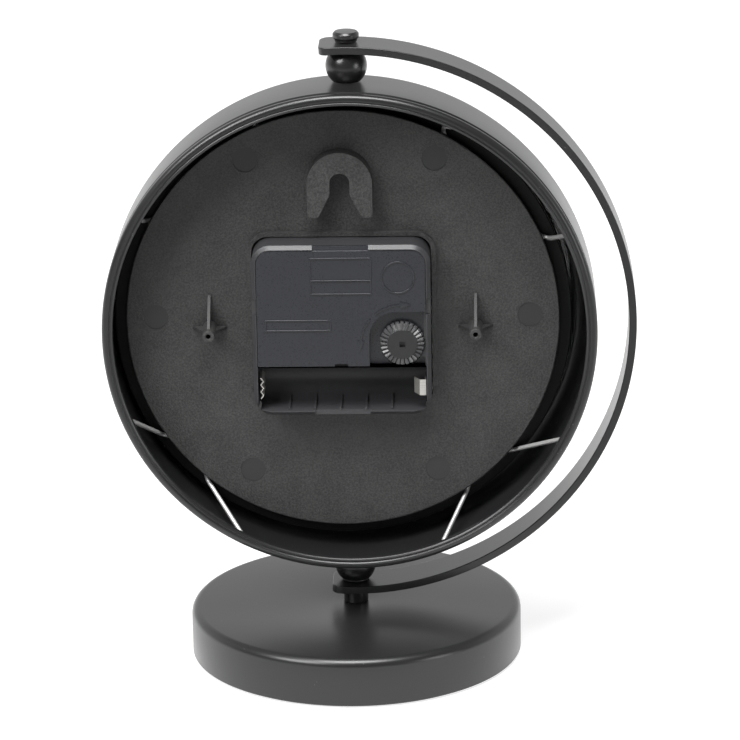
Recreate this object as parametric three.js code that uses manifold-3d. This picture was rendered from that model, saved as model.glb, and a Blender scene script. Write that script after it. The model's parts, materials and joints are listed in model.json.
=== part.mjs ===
// A table clock: a round clock drum hung between two ball pivots in a C-shaped steel arm,
// which rises from a weighted round base. Millimetres, +Z up, and the dial faces -Y.
// The origin is the centre of the base's underside. Depths are places along Y.
import * as THREE from 'three';
import { mergeVertices } from 'three/addons/utils/BufferGeometryUtils.js';
import Module from 'manifold-3d';

const wasm = await Module();
wasm.setup();

// Sides of round work
const wideSides = 48;
const hiddenSides = 32;
const ballSides = 20;
const shaftSides = 16;
const pivotSides = 8;
const nutSides = 6;
const wireSides = 3;
const cornerSides = 4;
const plateSides = 2;

// Gaps between pieces, how far joined shapes sink into each other, and how far a cut runs on
const seatGap = 0.1;
const runGap = 0.25;
const slotGap = 0.3;
const curveGap = 0.3;
const weld = 0.1;
const overrun = 1;

// Base
const baseRadius = 53;
const baseHeight = 16;
const baseEdgeRadius = 2.6;
const baseSheet = 1.2;
const padThickness = 1.6;
const padProud = 0.8;
const screwRadius = 1.75;
const screwHoleRadius = 2.05;
const baseScrewHeadRadius = 3.6;
const baseScrewHeadHeight = 2.6;
const baseWasherRadius = 6;
const baseWasherThickness = 1;
const spacerRadius = 3.9;
const spacerHeight = 4.4;

// Drum
const drumRadius = 77.5;
const drumSheet = 0.9;
const drumRear = 18.5;
const drumFront = -13.5;
const drumCornerRadius = 6;
const drumLip = 9.5;
const beadRadius = 1.75;
const beadCurl = THREE.MathUtils.degToRad(225);
const beadSteps = 5;

// Arm
const armThickness = 2.4;
const armWidth = 15;
const armEndRadius = 3;
const armLowerOverhang = 7.5;
const armUpperOverhang = 8.5;
const armSteps = 48;
const armEndSteps = 4;

// Pivots
const pivotRoom = 10.1;
const ballRadius = 6.5;
const pivotWasherRadius = 4.4;
const pivotWasherThickness = 0.8;
const pivotScrewReach = 6.5;
const topHeadRadius = 4.1;
const topHeadNeckRadius = 3.4;
const topHeadFaceRadius = 3.2;
const topHeadHeight = 3.1;

// Glass, distance ring and dial
const glassInset = 6.1;
const glassThickness = 2;
const dialInset = 5.2;
const dialThickness = 0.6;
const dialRingWall = 2.6;
const dialRingDepth = 5.1;

// Bush, nut and washer that hold the movement to the dial
const bushRadius = 3.9;
const bushLength = 3.6;
const nutFlatRadius = 5.5;
const nutThickness = 1.5;
const rubberWasherRadius = 9;
const rubberWasherThickness = 1.2;

// Back pan and where it and the dial sit in the drum
const insertOffset = 2.6;
const panInset = 9;
const panThickness = 2;
const panFlangeThickness = 1.2;
const panGroove = 2.3;
const panLip = 7.5;
const panWall = 1.8;
const frameMargin = 1.3;
const frameHeight = 1.4;

// Hanging hook
const hangerStandoff = 7.55;
const hangerLegLength = 10.7;
const hangerHalfWidth = 10.2;
const hangerHeight = 6;
const hangerWall = 1.4;
const hangerNeckHalf = 3.5;
const hangerMouthHalf = 6.8;
const hangerSlotRise = 3.6;

// Side bosses
const bossStandoff = 14;
const bossDrop = 2;
const bossHeight = 10;
const bossRadius = 1.9;
const bossHoleRadius = 0.8;
const bossHoleDepth = 7;
const gussetReach = 5.4;
const gussetWall = 1.2;
const gussetHeight = 7.5;
const gussetRise = 10.8;

// Spring clips
const clipWireRadius = 0.7;
const clipTuck = 2.5;
const clipExitGap = 0.9;
const clipBend = 1.6;
const clipSteps = 14;
const upperClip = { middleHalf: 20, exitHalf: 24.8, endAngle: THREE.MathUtils.degToRad(17.6) };
const lowerClip = { middleHalf: 5.2, exitHalf: 10.4, endAngle: THREE.MathUtils.degToRad(20) };
const upperClipAngles = [48, 138].map(THREE.MathUtils.degToRad);
const lowerClipAngles = [228, 318].map(THREE.MathUtils.degToRad);

// Movement case
const caseWidth = 56;
const caseHeight = 55.5;
const caseThickness = 15.8;
const caseCornerRadius = 5;
const caseWall = 1.4;
const caseFloor = 1.2;
const caseLedge = 1.15;
const latchWidth = 17.5;
const sideLatchHeight = 5.5;
const latchDepth = 1.3;
const postRadius = 1.2;
const postPinRadius = 0.6;
const upperPost = [3, 15.2];
const lowerPost = [-3.8, -9];

// Battery bay and its contacts
const batteryRadius = 7.125;
const bayLowerWall = 1.525;
const bayTrainWall = 2.4;
const contactSheet = 0.35;
const contactDepth = 8.5;
const springContactHalf = 3.4;
const springContactWave = 0.8;
const springContactHumps = 3;
const humpSteps = 4;
const tabContactHalf = 2.6;
const tabContactReach = 4.2;

// Rear cover
const coverThickness = 1.2;
const pocketReach = 10.3;
const pocketTop = 4.9;
const pocketWall = 0.9;
const pocketCornerRadius = 8;
const frameLine = 0.5;
const frameProud = 0.3;
const labelFrame = { xLow: -9.6, xHigh: 9.6, zLow: 11.5, zHigh: 22.6 };
const typeFrame = { xLow: 3.1, xHigh: 23.6, zLow: -1, zHigh: 2.8 };
const roundFramePlace = [-17.9, 16.7];
const roundFrameRadius = 4.7;

// Setting knob
const knobX = -19;
const knobHeight = -4.5;
const knobRadius = 7.2;
const knobThickness = 2.4;
const knobTeeth = 30;
const knobToothDepth = 1.5;
const knobPocketDepth = 2.9;
const knobSpindleRadius = 1;

// Teeth
const cannonTeeth = 10;
const motionTeeth = 30;
const motionPinionTeeth = 8;
const hourTeeth = 32;
const knobPinionTeeth = 12;
const rotorTeeth = 6;
const thirdTeeth = 30;
const thirdPinionTeeth = 6;
const secondsTeeth = 36;
const secondsPinionTeeth = 6;
const reductionTeeth = 45;
const reductionPinionTeeth = 6;
const centreTeeth = 48;
const motionModule = 0.48;
const rotorModule = 0.3;
const secondsModule = 0.42;
const centreModule = 0.33;
const toothCrestShare = 0.2;
const addendumShare = 0.35;
const dedendumShare = 1.25;

// Wheels and arbors
const wheelThickness = 0.8;
const pinionThickness = 1.2;
const levelGap = 0.35;
const arborRadius = 0.4;
const pivotHoleRadius = 0.6;
const pivotDepth = 0.8;
const rotorRadius = 2.6;
const rotorProud = 0.8;
const motionPostRadius = 0.9;
const thirdDirection = THREE.MathUtils.degToRad(120);
const rotorDirection = THREE.MathUtils.degToRad(135);
const reductionDirection = 0;
const bridgeMargin = 2;

// Stepping motor and circuit
const statorWidth = 2.6;
const statorHole = 0.6;
const statorRing = 1.3;
const coilInset = 4.6;
const coilHalf = 9;
const coilRadius = 3.3;
const coilFlangeRadius = 3.9;
const coilFlange = 0.8;
const coreHalf = 12.6;
const coreRadius = 1;
const boardMargin = 1.4;
const boardHalf = 6.2;
const boardLow = -6;
const boardHigh = 13;
const boardThickness = 1;
const crystalRadius = 1.5;
const crystalLength = 6;

// Hands and their pipes
const hourPipeRadius = 2.6;
const hourPipeReach = 0.85;
const minutePipeRadius = 1.75;
const minutePipeReach = 0.95;
const secondsShaftRadius = 0.5;
const secondsShaftReach = 0.85;
const handSheet = 0.4;
const handWall = 1.4;
const hourHandLength = 37;
const hourHandWidth = 5;
const hourTail = 9;
const minuteHandLength = 53;
const minuteHandWidth = 4;
const minuteTail = 11;
const secondHandLength = 56;
const secondHandWidth = 1.1;
const secondTail = 17;
const handTipShare = 0.45;

// Rest time on the dial, hours and minutes and seconds
const restHour = 10;
const restMinute = 9;
const restSecond = 36;

// Finishes, from the photograph
const paint = { color: 0x2b2b2c, roughness: 0.42, metalness: 0.15 };
const brightSteel = { color: 0xb9b9b6, roughness: 0.3, metalness: 1 };
const blackPlastic = { color: 0x303032, roughness: 0.6, metalness: 0 };
const coverPlastic = { color: 0x2c2e33, roughness: 0.35, metalness: 0 };
const whitePlastic = { color: 0xd8d8d2, roughness: 0.5, metalness: 0 };
const brass = { color: 0xb08d4a, roughness: 0.35, metalness: 1 };
const copper = { color: 0xb06a3c, roughness: 0.4, metalness: 1 };
const rubber = { color: 0x1d1d1d, roughness: 0.9, metalness: 0 };
const castIron = { color: 0x3a3a3a, roughness: 0.8, metalness: 0.6 };
const dialPaint = { color: 0xeeeae0, roughness: 0.6, metalness: 0 };
const glass = { color: 0xdfe6e4, roughness: 0.05, metalness: 0, transparent: true, opacity: 0.3 };
const boardResin = { color: 0x5d7a4a, roughness: 0.6, metalness: 0 };

// Heights on the pivot axis, worked out from the base up
const spacerLow = baseHeight + seatGap;
const spacerHigh = spacerLow + spacerHeight;
const armInnerRadius = drumRadius + pivotRoom;
const armRadius = armInnerRadius + armThickness;
const drumHeight = spacerHigh + curveGap + armRadius;
const armLowHigh = drumHeight - armInnerRadius;
const armTopLow = drumHeight + armInnerRadius;
const armTop = drumHeight + armRadius;

// Depths through the drum, worked out from the front lip back
const glassFront = drumFront + drumSheet + seatGap;
const glassRear = glassFront + glassThickness;
const dialRingFront = glassRear + seatGap;
const dialFront = dialRingFront + dialRingDepth + seatGap;
const dialRear = dialFront + dialThickness;
const flangeFront = dialRear + seatGap;
const flangeRear = flangeFront + panFlangeThickness;
const plateFront = flangeRear + panGroove;
const plateRear = plateFront + panThickness;

// Radii inside the drum
const drumMouthRadius = drumRadius - drumLip;
const glassRadius = drumRadius - glassInset;
const dialRadius = drumRadius - dialInset;
const panRadius = drumRadius - panInset;
const panWallRadius = panRadius - panLip;
const clipMiddleRadius = panRadius - clipTuck;

const clock = new THREE.Group();
const insert = new THREE.Group();
insert.position.set(insertOffset, 0, drumHeight);
clock.add(insert);
const drum = new THREE.Group();
drum.position.set(0, 0, drumHeight);
clock.add(drum);

function addPiece(parent, name, geometry, finish) {
  const mesh = new THREE.Mesh(geometry, new THREE.MeshStandardMaterial(finish));
  mesh.name = name;
  parent.add(mesh);
  return mesh;
}

// A closed mesh as a solid for joining and cutting
function toSolid(geometry) {
  const bare = geometry.clone();
  bare.deleteAttribute('normal');
  bare.deleteAttribute('uv');
  const merged = mergeVertices(bare);
  const corners = merged.index.array;
  const kept = [];
  for (let at = 0; at < corners.length; at += 3) {
    const [a, b, c] = [corners[at], corners[at + 1], corners[at + 2]];
    if (a !== b && b !== c && c !== a) kept.push(a, b, c);
  }
  const vertProperties = new Float32Array(merged.attributes.position.array);
  return new wasm.Manifold(new wasm.Mesh({ numProp: 3, vertProperties, triVerts: new Uint32Array(kept) }));
}

function toGeometry(solid) {
  const mesh = solid.getMesh();
  const geometry = new THREE.BufferGeometry();
  geometry.setAttribute('position', new THREE.BufferAttribute(new Float32Array(mesh.vertProperties), 3));
  geometry.setIndex(new THREE.BufferAttribute(new Uint32Array(mesh.triVerts), 1));
  geometry.computeVertexNormals();
  return geometry;
}

function joined(...geometries) {
  return toGeometry(geometries.map(toSolid).reduce((whole, next) => whole.add(next)));
}

function cut(geometry, ...tools) {
  return toGeometry(tools.map(toSolid).reduce((whole, next) => whole.subtract(next), toSolid(geometry)));
}

// A profile of [radius, depth] points turned round the Y axis
function turned(profile, sides) {
  return new THREE.LatheGeometry(profile.map(([radius, depth]) => new THREE.Vector2(radius, depth)), sides);
}

// The same round the Z axis, for the stand
function turnedUpright(profile, sides) {
  return turned(profile, sides).rotateX(Math.PI / 2);
}

function discProfile(radius, low, high) {
  return [[0, low], [radius, low], [radius, high], [0, high]];
}

function ringProfile(inner, outer, low, high) {
  return [[inner, low], [outer, low], [outer, high], [inner, high], [inner, low]];
}

// Points of an arc in a profile, about a centre, from one angle to another
function arcPoints(centreRadius, centreDepth, radius, from, to, steps) {
  const points = [];
  for (let step = 0; step <= steps; step += 1) {
    const angle = from + (to - from) * step / steps;
    points.push([centreRadius + radius * Math.cos(angle), centreDepth + radius * Math.sin(angle)]);
  }
  return points;
}

// A shape drawn in X and Z, from one depth to another
function plate(shape, front, rear) {
  const options = { depth: rear - front, bevelEnabled: false, curveSegments: plateSides };
  return new THREE.ExtrudeGeometry(shape, options).rotateX(Math.PI / 2).translate(0, rear, 0);
}

// A rod along Y at a place in X and Z
function rod(radius, front, rear, x = 0, z = 0, sides = shaftSides) {
  return turned(discProfile(radius, front, rear), sides).translate(x, 0, z);
}

function block(xLow, xHigh, front, rear, zLow, zHigh) {
  const geometry = new THREE.BoxGeometry(xHigh - xLow, rear - front, zHigh - zLow);
  return geometry.translate((xLow + xHigh) / 2, (front + rear) / 2, (zLow + zHigh) / 2);
}

function roundedRectangle(xLow, xHigh, zLow, zHigh, radius) {
  const shape = new THREE.Shape();
  shape.moveTo(xLow + radius, zLow);
  shape.absarc(xHigh - radius, zLow + radius, radius, -Math.PI / 2, 0);
  shape.absarc(xHigh - radius, zHigh - radius, radius, 0, Math.PI / 2);
  shape.absarc(xLow + radius, zHigh - radius, radius, Math.PI / 2, Math.PI);
  shape.absarc(xLow + radius, zLow + radius, radius, Math.PI, Math.PI * 3 / 2);
  return shape;
}

function polygon(points) {
  return new THREE.Shape(points.map(([x, z]) => new THREE.Vector2(x, z)));
}

// The base: a pressed shell, a weight inside it, a pad below and the long screw up its middle
function makeBase() {
  const shellInner = baseRadius - baseSheet;
  const top = baseHeight - baseSheet;
  const edgeCentre = baseRadius - baseEdgeRadius;
  const quarter = Math.PI / 2;
  const shellProfile = [
    [shellInner, padProud],
    [baseRadius, padProud],
    ...arcPoints(edgeCentre, baseHeight - baseEdgeRadius, baseEdgeRadius, 0, quarter, cornerSides),
    [screwHoleRadius, baseHeight],
    [screwHoleRadius, top],
    [edgeCentre, top],
    [shellInner, baseHeight - baseEdgeRadius],
    [shellInner, padProud],
  ];
  addPiece(clock, 'base_shell', turnedUpright(shellProfile, wideSides), paint);

  const weightRadius = shellInner - slotGap;
  const weightLow = padThickness + seatGap;
  const weightTop = top - seatGap;
  const weightEdge = edgeCentre - slotGap;
  const screwHeadLow = weightLow + seatGap;
  const washerLow = screwHeadLow + baseScrewHeadHeight + seatGap;
  const washerHigh = washerLow + baseWasherThickness;
  const counterbore = baseWasherRadius + slotGap;
  const weightProfile = [
    [counterbore, weightLow],
    [weightRadius, weightLow],
    [weightRadius, baseHeight - baseEdgeRadius - slotGap],
    [weightEdge, weightTop],
    [screwHoleRadius, weightTop],
    [screwHoleRadius, washerHigh + seatGap],
    [counterbore, washerHigh + seatGap],
    [counterbore, weightLow],
  ];
  addPiece(clock, 'base_weight', turnedUpright(weightProfile, hiddenSides), castIron);
  addPiece(clock, 'base_pad', turnedUpright(discProfile(weightRadius, 0, padThickness), wideSides), rubber);

  const washerProfile = ringProfile(screwHoleRadius, baseWasherRadius, washerLow, washerHigh);
  addPiece(clock, 'base_screw_washer', turnedUpright(washerProfile, shaftSides), brightSteel);

  const screwTop = armLowHigh + pivotScrewReach;
  const screwProfile = [
    [0, screwHeadLow],
    [baseScrewHeadRadius, screwHeadLow],
    [baseScrewHeadRadius, screwHeadLow + baseScrewHeadHeight],
    [screwRadius, screwHeadLow + baseScrewHeadHeight],
    [screwRadius, screwTop],
    [0, screwTop],
  ];
  addPiece(clock, 'base_screw', turnedUpright(screwProfile, shaftSides), brightSteel);

  const spacerProfile = ringProfile(screwHoleRadius, spacerRadius, spacerLow, spacerHigh);
  addPiece(clock, 'arm_spacer', turnedUpright(spacerProfile, ballSides), paint);
}

// The arm: a strip bent round the drum's centre on the -X side, its two ends rounded in plan
function makeArm() {
  const start = -Math.asin(armLowerOverhang / armRadius);
  const end = Math.PI + Math.asin(armUpperOverhang / armRadius);
  const stations = [];
  for (let step = 0; step <= armEndSteps; step += 1) {
    const turn = Math.PI / 2 * step / armEndSteps;
    stations.push([armEndRadius * (1 - Math.cos(turn)), armEndRadius * (1 - Math.sin(turn))]);
  }
  const sections = stations.map(([along, narrow]) => [start + along / armRadius, narrow]);
  const endAngle = armEndRadius / armRadius;
  for (let step = 1; step < armSteps; step += 1) {
    sections.push([start + endAngle + (end - start - 2 * endAngle) * step / armSteps, 0]);
  }
  sections.push(...stations.reverse().map(([along, narrow]) => [end - along / armRadius, narrow]));

  const places = [];
  for (const [angle, narrow] of sections) {
    const half = armWidth / 2 - narrow;
    const outer = [[armRadius, -half], [armRadius, half]];
    const inner = [[armInnerRadius, half], [armInnerRadius, -half]];
    for (const [radius, depth] of [...outer, ...inner]) {
      places.push(-radius * Math.sin(angle), depth, drumHeight - radius * Math.cos(angle));
    }
  }
  const corners = [0, 1, 2, 0, 2, 3];
  const last = 4 * (sections.length - 1);
  for (let section = 0; section < sections.length - 1; section += 1) {
    for (let side = 0; side < 4; side += 1) {
      const near = 4 * section + side;
      const beside = 4 * section + (side + 1) % 4;
      corners.push(near, beside + 4, beside, near, near + 4, beside + 4);
    }
  }
  corners.push(last, last + 2, last + 1, last, last + 3, last + 2);
  const strip = new THREE.BufferGeometry();
  strip.setAttribute('position', new THREE.Float32BufferAttribute(places, 3));
  strip.setIndex(corners);
  const holeAt = (low) => {
    const high = low + armThickness + curveGap;
    return turnedUpright(discProfile(screwHoleRadius, low - overrun, high + overrun), shaftSides);
  };
  addPiece(clock, 'arm_strip', cut(strip, holeAt(spacerHigh), holeAt(armTopLow)), paint);
}

// A ball with two flats, bored from the end that faces the arm. The drum's side is at zero height
function ballGeometry(height, boreDepth) {
  const centre = height / 2;
  const flat = Math.asin(centre / ballRadius);
  return turnedUpright([
    [0, 0],
    ...arcPoints(0, centre, ballRadius, -flat, flat, pivotSides),
    [screwHoleRadius, height],
    [screwHoleRadius, height - boreDepth],
    [0, height - boreDepth],
  ], ballSides);
}

// The pivots: a ball welded on the drum at each end, turning on a screw through the arm
function makePivots() {
  const boreDepth = pivotScrewReach + slotGap;
  const upperHeight = pivotRoom - 2 * curveGap;
  const upper = ballGeometry(upperHeight, boreDepth).translate(0, 0, drumRadius + curveGap);
  addPiece(drum, 'upper_ball', upper, paint);
  const lowerHeight = pivotRoom - pivotWasherThickness - 2 * curveGap - seatGap;
  const lower = ballGeometry(lowerHeight, boreDepth).rotateX(Math.PI).translate(0, 0, -drumRadius - curveGap);
  addPiece(drum, 'lower_ball', lower, paint);

  const washerLow = armLowHigh + curveGap;
  const washerHigh = washerLow + pivotWasherThickness;
  const washerProfile = ringProfile(screwHoleRadius, pivotWasherRadius, washerLow, washerHigh);
  addPiece(clock, 'lower_washer', turnedUpright(washerProfile, ballSides), paint);

  const headLow = armTop + curveGap;
  const headTop = headLow + topHeadHeight;
  const rim = topHeadRadius - topHeadFaceRadius;
  const screwProfile = [
    [0, armTopLow - pivotScrewReach],
    [screwRadius, armTopLow - pivotScrewReach],
    [screwRadius, headLow],
    [topHeadNeckRadius, headLow],
    [topHeadRadius, headTop - 2 * rim],
    ...arcPoints(topHeadFaceRadius, headTop - rim, rim, 0, Math.PI / 2, cornerSides),
    [0, headTop],
  ];
  addPiece(clock, 'top_screw', turnedUpright(screwProfile, ballSides), paint);
}

// The drum: a deep pressing with a rounded front corner, an inward lip and a rolled rear bead
function makeDrum() {
  const beadCentre = drumRadius - beadRadius;
  const beadDepth = drumRear - beadRadius;
  const cornerCentre = drumRadius - drumCornerRadius;
  const cornerDepth = drumFront + drumCornerRadius;
  const innerCorner = drumCornerRadius - drumSheet;
  const innerBead = beadRadius - drumSheet;
  const quarter = Math.PI / 2;
  const profile = [
    [drumMouthRadius, drumFront],
    ...arcPoints(cornerCentre, cornerDepth, drumCornerRadius, -quarter, 0, cornerSides),
    ...arcPoints(beadCentre, beadDepth, beadRadius, 0, beadCurl, beadSteps),
    ...arcPoints(beadCentre, beadDepth, innerBead, beadCurl, 0, cornerSides - 1),
    ...arcPoints(cornerCentre, cornerDepth, innerCorner, 0, -quarter, cornerSides),
    [drumMouthRadius, drumFront + drumSheet],
    [drumMouthRadius, drumFront],
  ];
  addPiece(drum, 'drum_shell', turned(profile, wideSides), paint);
  addPiece(drum, 'glass_lens', turned(discProfile(glassRadius, glassFront, glassRear), wideSides), glass);
}

// A point on the way from one point to another
function towards(from, to, distance) {
  return from.clone().addScaledVector(to.clone().sub(from).normalize(), distance);
}

// Spring clips: bent wires whose middle lies in the pan's groove and whose ends sit under the bead.
// The upper ones stand with their legs close to upright, and the legs of the lower ones splay apart.
function makeClips() {
  const grooveDepth = (flangeRear + plateFront) / 2;
  const endRadius = drumRadius - drumSheet - clipWireRadius - slotGap;
  const endDepth = drumRear - 2 * beadRadius - clipWireRadius - slotGap;
  const exitRadius = panRadius + clipWireRadius + clipExitGap;
  const clips = [
    ...upperClipAngles.map((middle) => ({ middle, ...upperClip })),
    ...lowerClipAngles.map((middle) => ({ middle, ...lowerClip })),
  ];
  clips.forEach(({ middle, middleHalf, exitHalf, endAngle }, index) => {
    const outward = new THREE.Vector3(Math.cos(middle), 0, Math.sin(middle));
    const across = new THREE.Vector3(-Math.sin(middle), 0, Math.cos(middle));
    const inPan = (along, radius, depth) => new THREE.Vector3(insertOffset, depth, 0)
      .addScaledVector(outward, Math.sqrt(radius ** 2 - along ** 2)).addScaledVector(across, along);
    const underBead = (angle) => new THREE.Vector3(Math.cos(angle), 0, Math.sin(angle))
      .multiplyScalar(endRadius).setY(endDepth);
    const points = [
      underBead(middle - endAngle),
      inPan(-exitHalf, exitRadius, grooveDepth),
      inPan(-middleHalf, clipMiddleRadius, grooveDepth),
      inPan(middleHalf, clipMiddleRadius, grooveDepth),
      inPan(exitHalf, exitRadius, grooveDepth),
      underBead(middle + endAngle),
    ];
    const path = new THREE.CurvePath();
    let from = points[0];
    for (let bend = 1; bend < points.length - 1; bend += 1) {
      const before = towards(points[bend], points[bend - 1], clipBend);
      const after = towards(points[bend], points[bend + 1], clipBend);
      path.add(new THREE.LineCurve3(from, before));
      path.add(new THREE.QuadraticBezierCurve3(before, points[bend], after));
      from = after;
    }
    path.add(new THREE.LineCurve3(from, points[points.length - 1]));
    const section = new THREE.Shape().absarc(0, 0, clipWireRadius, 0, Math.PI * 2);
    const options = { steps: clipSteps, extrudePath: path, bevelEnabled: false, curveSegments: wireSides };
    const wire = new THREE.ExtrudeGeometry(section, options);
    addPiece(drum, `spring_clip_${index + 1}`, wire, brightSteel);
  });
}

// Depths through the movement, worked out from the dial back
const caseFront = dialRear + rubberWasherThickness + 2 * seatGap;
const caseRear = caseFront + caseThickness;
const caseInside = caseFront + caseFloor;
const coverRear = caseRear - seatGap;
const coverFront = coverRear - coverThickness;
const bushFront = caseFront - bushLength;

// The insert's front: a ring that holds the dial off the glass, the dial, and what clamps it
function makeDial() {
  const ringRear = dialRingFront + dialRingDepth;
  const ring = ringProfile(dialRadius - dialRingWall, dialRadius, dialRingFront, ringRear);
  addPiece(insert, 'dial_ring', turned(ring, wideSides), paint);
  const face = ringProfile(bushRadius + seatGap, dialRadius, dialFront, dialRear);
  addPiece(insert, 'dial_plate', turned(face, wideSides), dialPaint);
  const nutRear = dialFront - seatGap;
  const nutCornerRadius = nutFlatRadius / Math.cos(Math.PI / nutSides);
  const nut = cut(
    rod(nutCornerRadius, nutRear - nutThickness, nutRear, 0, 0, nutSides),
    rod(bushRadius + runGap, nutRear - nutThickness - overrun, nutRear + overrun),
  );
  addPiece(insert, 'fixing_nut', nut, brass);
  const washerRear = dialRear + seatGap + rubberWasherThickness;
  const washer = ringProfile(bushRadius + runGap, rubberWasherRadius, dialRear + seatGap, washerRear);
  addPiece(insert, 'rubber_washer', turned(washer, ballSides), rubber);
}

// The back pan: a round plate over a groove and a flange, with a window for the movement
const windowHalfWidth = caseWidth / 2 + slotGap;
const windowHalfHeight = caseHeight / 2 + slotGap;
const hangerLegLow = windowHalfHeight + hangerStandoff - slotGap;
const hangerArchHeight = hangerLegLow + hangerLegLength;
const hangerSlotHeight = hangerArchHeight + hangerSlotRise;

function makePan() {
  const body = turned([
    [panWallRadius - panWall, flangeFront],
    [dialRadius, flangeFront],
    [dialRadius, flangeRear],
    [panWallRadius, flangeRear],
    [panWallRadius, plateFront],
    [panRadius, plateFront],
    [panRadius, plateRear],
    [0, plateRear],
    [0, plateFront],
    [panWallRadius - panWall, plateFront],
    [panWallRadius - panWall, flangeFront],
  ], wideSides);
  const frameHalfWidth = windowHalfWidth + frameMargin;
  const frameHalfHeight = windowHalfHeight + frameMargin;
  const frame = roundedRectangle(
    -frameHalfWidth, frameHalfWidth, -frameHalfHeight, frameHalfHeight, caseCornerRadius,
  );
  const window = roundedRectangle(
    -windowHalfWidth, windowHalfWidth, -windowHalfHeight, windowHalfHeight, caseCornerRadius,
  );

  const bossRear = plateRear + bossHeight;
  const root = plateRear - panThickness / 2;
  const pieces = [plate(frame, root, plateRear + frameHeight)];
  const tools = [plate(window, plateFront - overrun, plateRear + frameHeight + overrun)];
  const halfWall = gussetWall / 2;
  const bossReach = caseWidth / 2 + bossStandoff;
  for (const side of [-bossReach, bossReach]) {
    const boss = rod(bossRadius, root, bossRear, side, -bossDrop, ballSides);
    const footRear = plateRear + gussetWall;
    const footHeights = [-bossDrop - halfWall, -bossDrop + halfWall];
    const foot = block(side - gussetReach, side + gussetReach, root, footRear, ...footHeights);
    const gussetRear = plateRear + gussetHeight;
    const gussetHigh = gussetRise - bossDrop;
    const gusset = block(side - halfWall, side + halfWall, root, gussetRear, -bossDrop, gussetHigh);
    pieces.push(boss, foot, gusset);
    const holeFront = bossRear - bossHoleDepth;
    tools.push(rod(bossHoleRadius, holeFront, bossRear + overrun, side, -bossDrop, pivotSides));
  }
  const whole = pieces.reduce((sum, piece) => joined(sum, piece), body);
  addPiece(insert, 'back_pan', cut(whole, ...tools), blackPlastic);
}

// The hanging hook is an arch with two legs, open below, hollow under its rear face.
// It is one moulding with the pan, and stands on the pan's rear face.
function makeHanger() {
  const hangerRear = plateRear + hangerHeight;
  const hanger = cut(
    plate(hangerOutline(), plateRear, hangerRear),
    plate(hangerSlot(), plateRear - overrun, hangerRear + overrun),
    plate(hangerPocket(), plateRear - overrun, hangerRear - hangerWall),
  );
  addPiece(insert, 'hanging_hook', hanger, blackPlastic);
}

function hangerOutline() {
  const shape = new THREE.Shape();
  shape.moveTo(-hangerHalfWidth, hangerLegLow);
  shape.lineTo(hangerHalfWidth, hangerLegLow);
  shape.absarc(0, hangerArchHeight, hangerHalfWidth, 0, Math.PI);
  return shape;
}

function hangerSlot() {
  const shape = new THREE.Shape();
  shape.moveTo(-hangerMouthHalf, hangerLegLow - overrun);
  shape.lineTo(hangerMouthHalf, hangerLegLow - overrun);
  shape.lineTo(hangerNeckHalf, hangerSlotHeight - hangerNeckHalf);
  shape.absarc(0, hangerSlotHeight - hangerNeckHalf, hangerNeckHalf, 0, Math.PI);
  return shape;
}

function hangerPocket() {
  const inner = hangerHalfWidth - hangerWall;
  const shape = new THREE.Shape();
  shape.moveTo(-inner, hangerLegLow - overrun);
  shape.lineTo(inner, hangerLegLow - overrun);
  shape.absarc(0, hangerArchHeight, inner, 0, Math.PI);
  return shape;
}

// The wheels. Places are [x, z] from the hand shaft, seen with X to the right
const motionReach = motionModule * (cannonTeeth + motionTeeth) / 2;
const knobReach = motionModule * (motionTeeth + knobPinionTeeth) / 2;
const secondsReach = secondsModule * (thirdPinionTeeth + secondsTeeth) / 2;
const rotorReach = rotorModule * (rotorTeeth + thirdTeeth) / 2;
const centreReach = centreModule * (reductionPinionTeeth + centreTeeth) / 2;
const reductionModule = 2 * centreReach / (secondsPinionTeeth + reductionTeeth);

function step(place, direction, distance) {
  return [place[0] + distance * Math.cos(direction), place[1] + distance * Math.sin(direction)];
}

const handShaft = [0, 0];
const knobPlace = [knobX, knobHeight];
const knobDistance = Math.hypot(...knobPlace);
const knobDirection = Math.atan2(knobHeight, knobX);
const cosineSum = knobDistance ** 2 + motionReach ** 2 - knobReach ** 2;
const motionTurn = Math.acos(cosineSum / (2 * knobDistance * motionReach));
const motionDirection = knobDirection - motionTurn;
const motionPlace = step(handShaft, motionDirection, motionReach);
const motionToKnob = Math.atan2(knobPlace[1] - motionPlace[1], knobPlace[0] - motionPlace[0]);
const thirdPlace = step(handShaft, thirdDirection, secondsReach);
const rotorPlace = step(thirdPlace, rotorDirection, rotorReach);
const reductionPlace = step(handShaft, reductionDirection, centreReach);

// Levels of the wheels, from the floor of the case to the bridge
const hourLevel = caseInside + levelGap;
const motionLevel = hourLevel + wheelThickness + levelGap;
const centreLevel = motionLevel + pinionThickness + levelGap;
const reductionLevel = centreLevel + pinionThickness + levelGap;
const statorLevel = reductionLevel + pinionThickness + levelGap;
const secondsLevel = statorLevel + wheelThickness + levelGap;
const thirdLevel = secondsLevel + pinionThickness + levelGap;
const bridgeFront = thirdLevel + pinionThickness + levelGap;
const bridgeRear = bridgeFront + wheelThickness;

// Turns a wheel so that one of its gaps meets a tooth of the wheel that it gears with
function meshPhase(teeth, phase, direction, matingTeeth) {
  const toothAtLine = (direction - phase) * teeth / (2 * Math.PI);
  return direction + Math.PI - (1 / 2 - toothAtLine) * 2 * Math.PI / matingTeeth;
}

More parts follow.
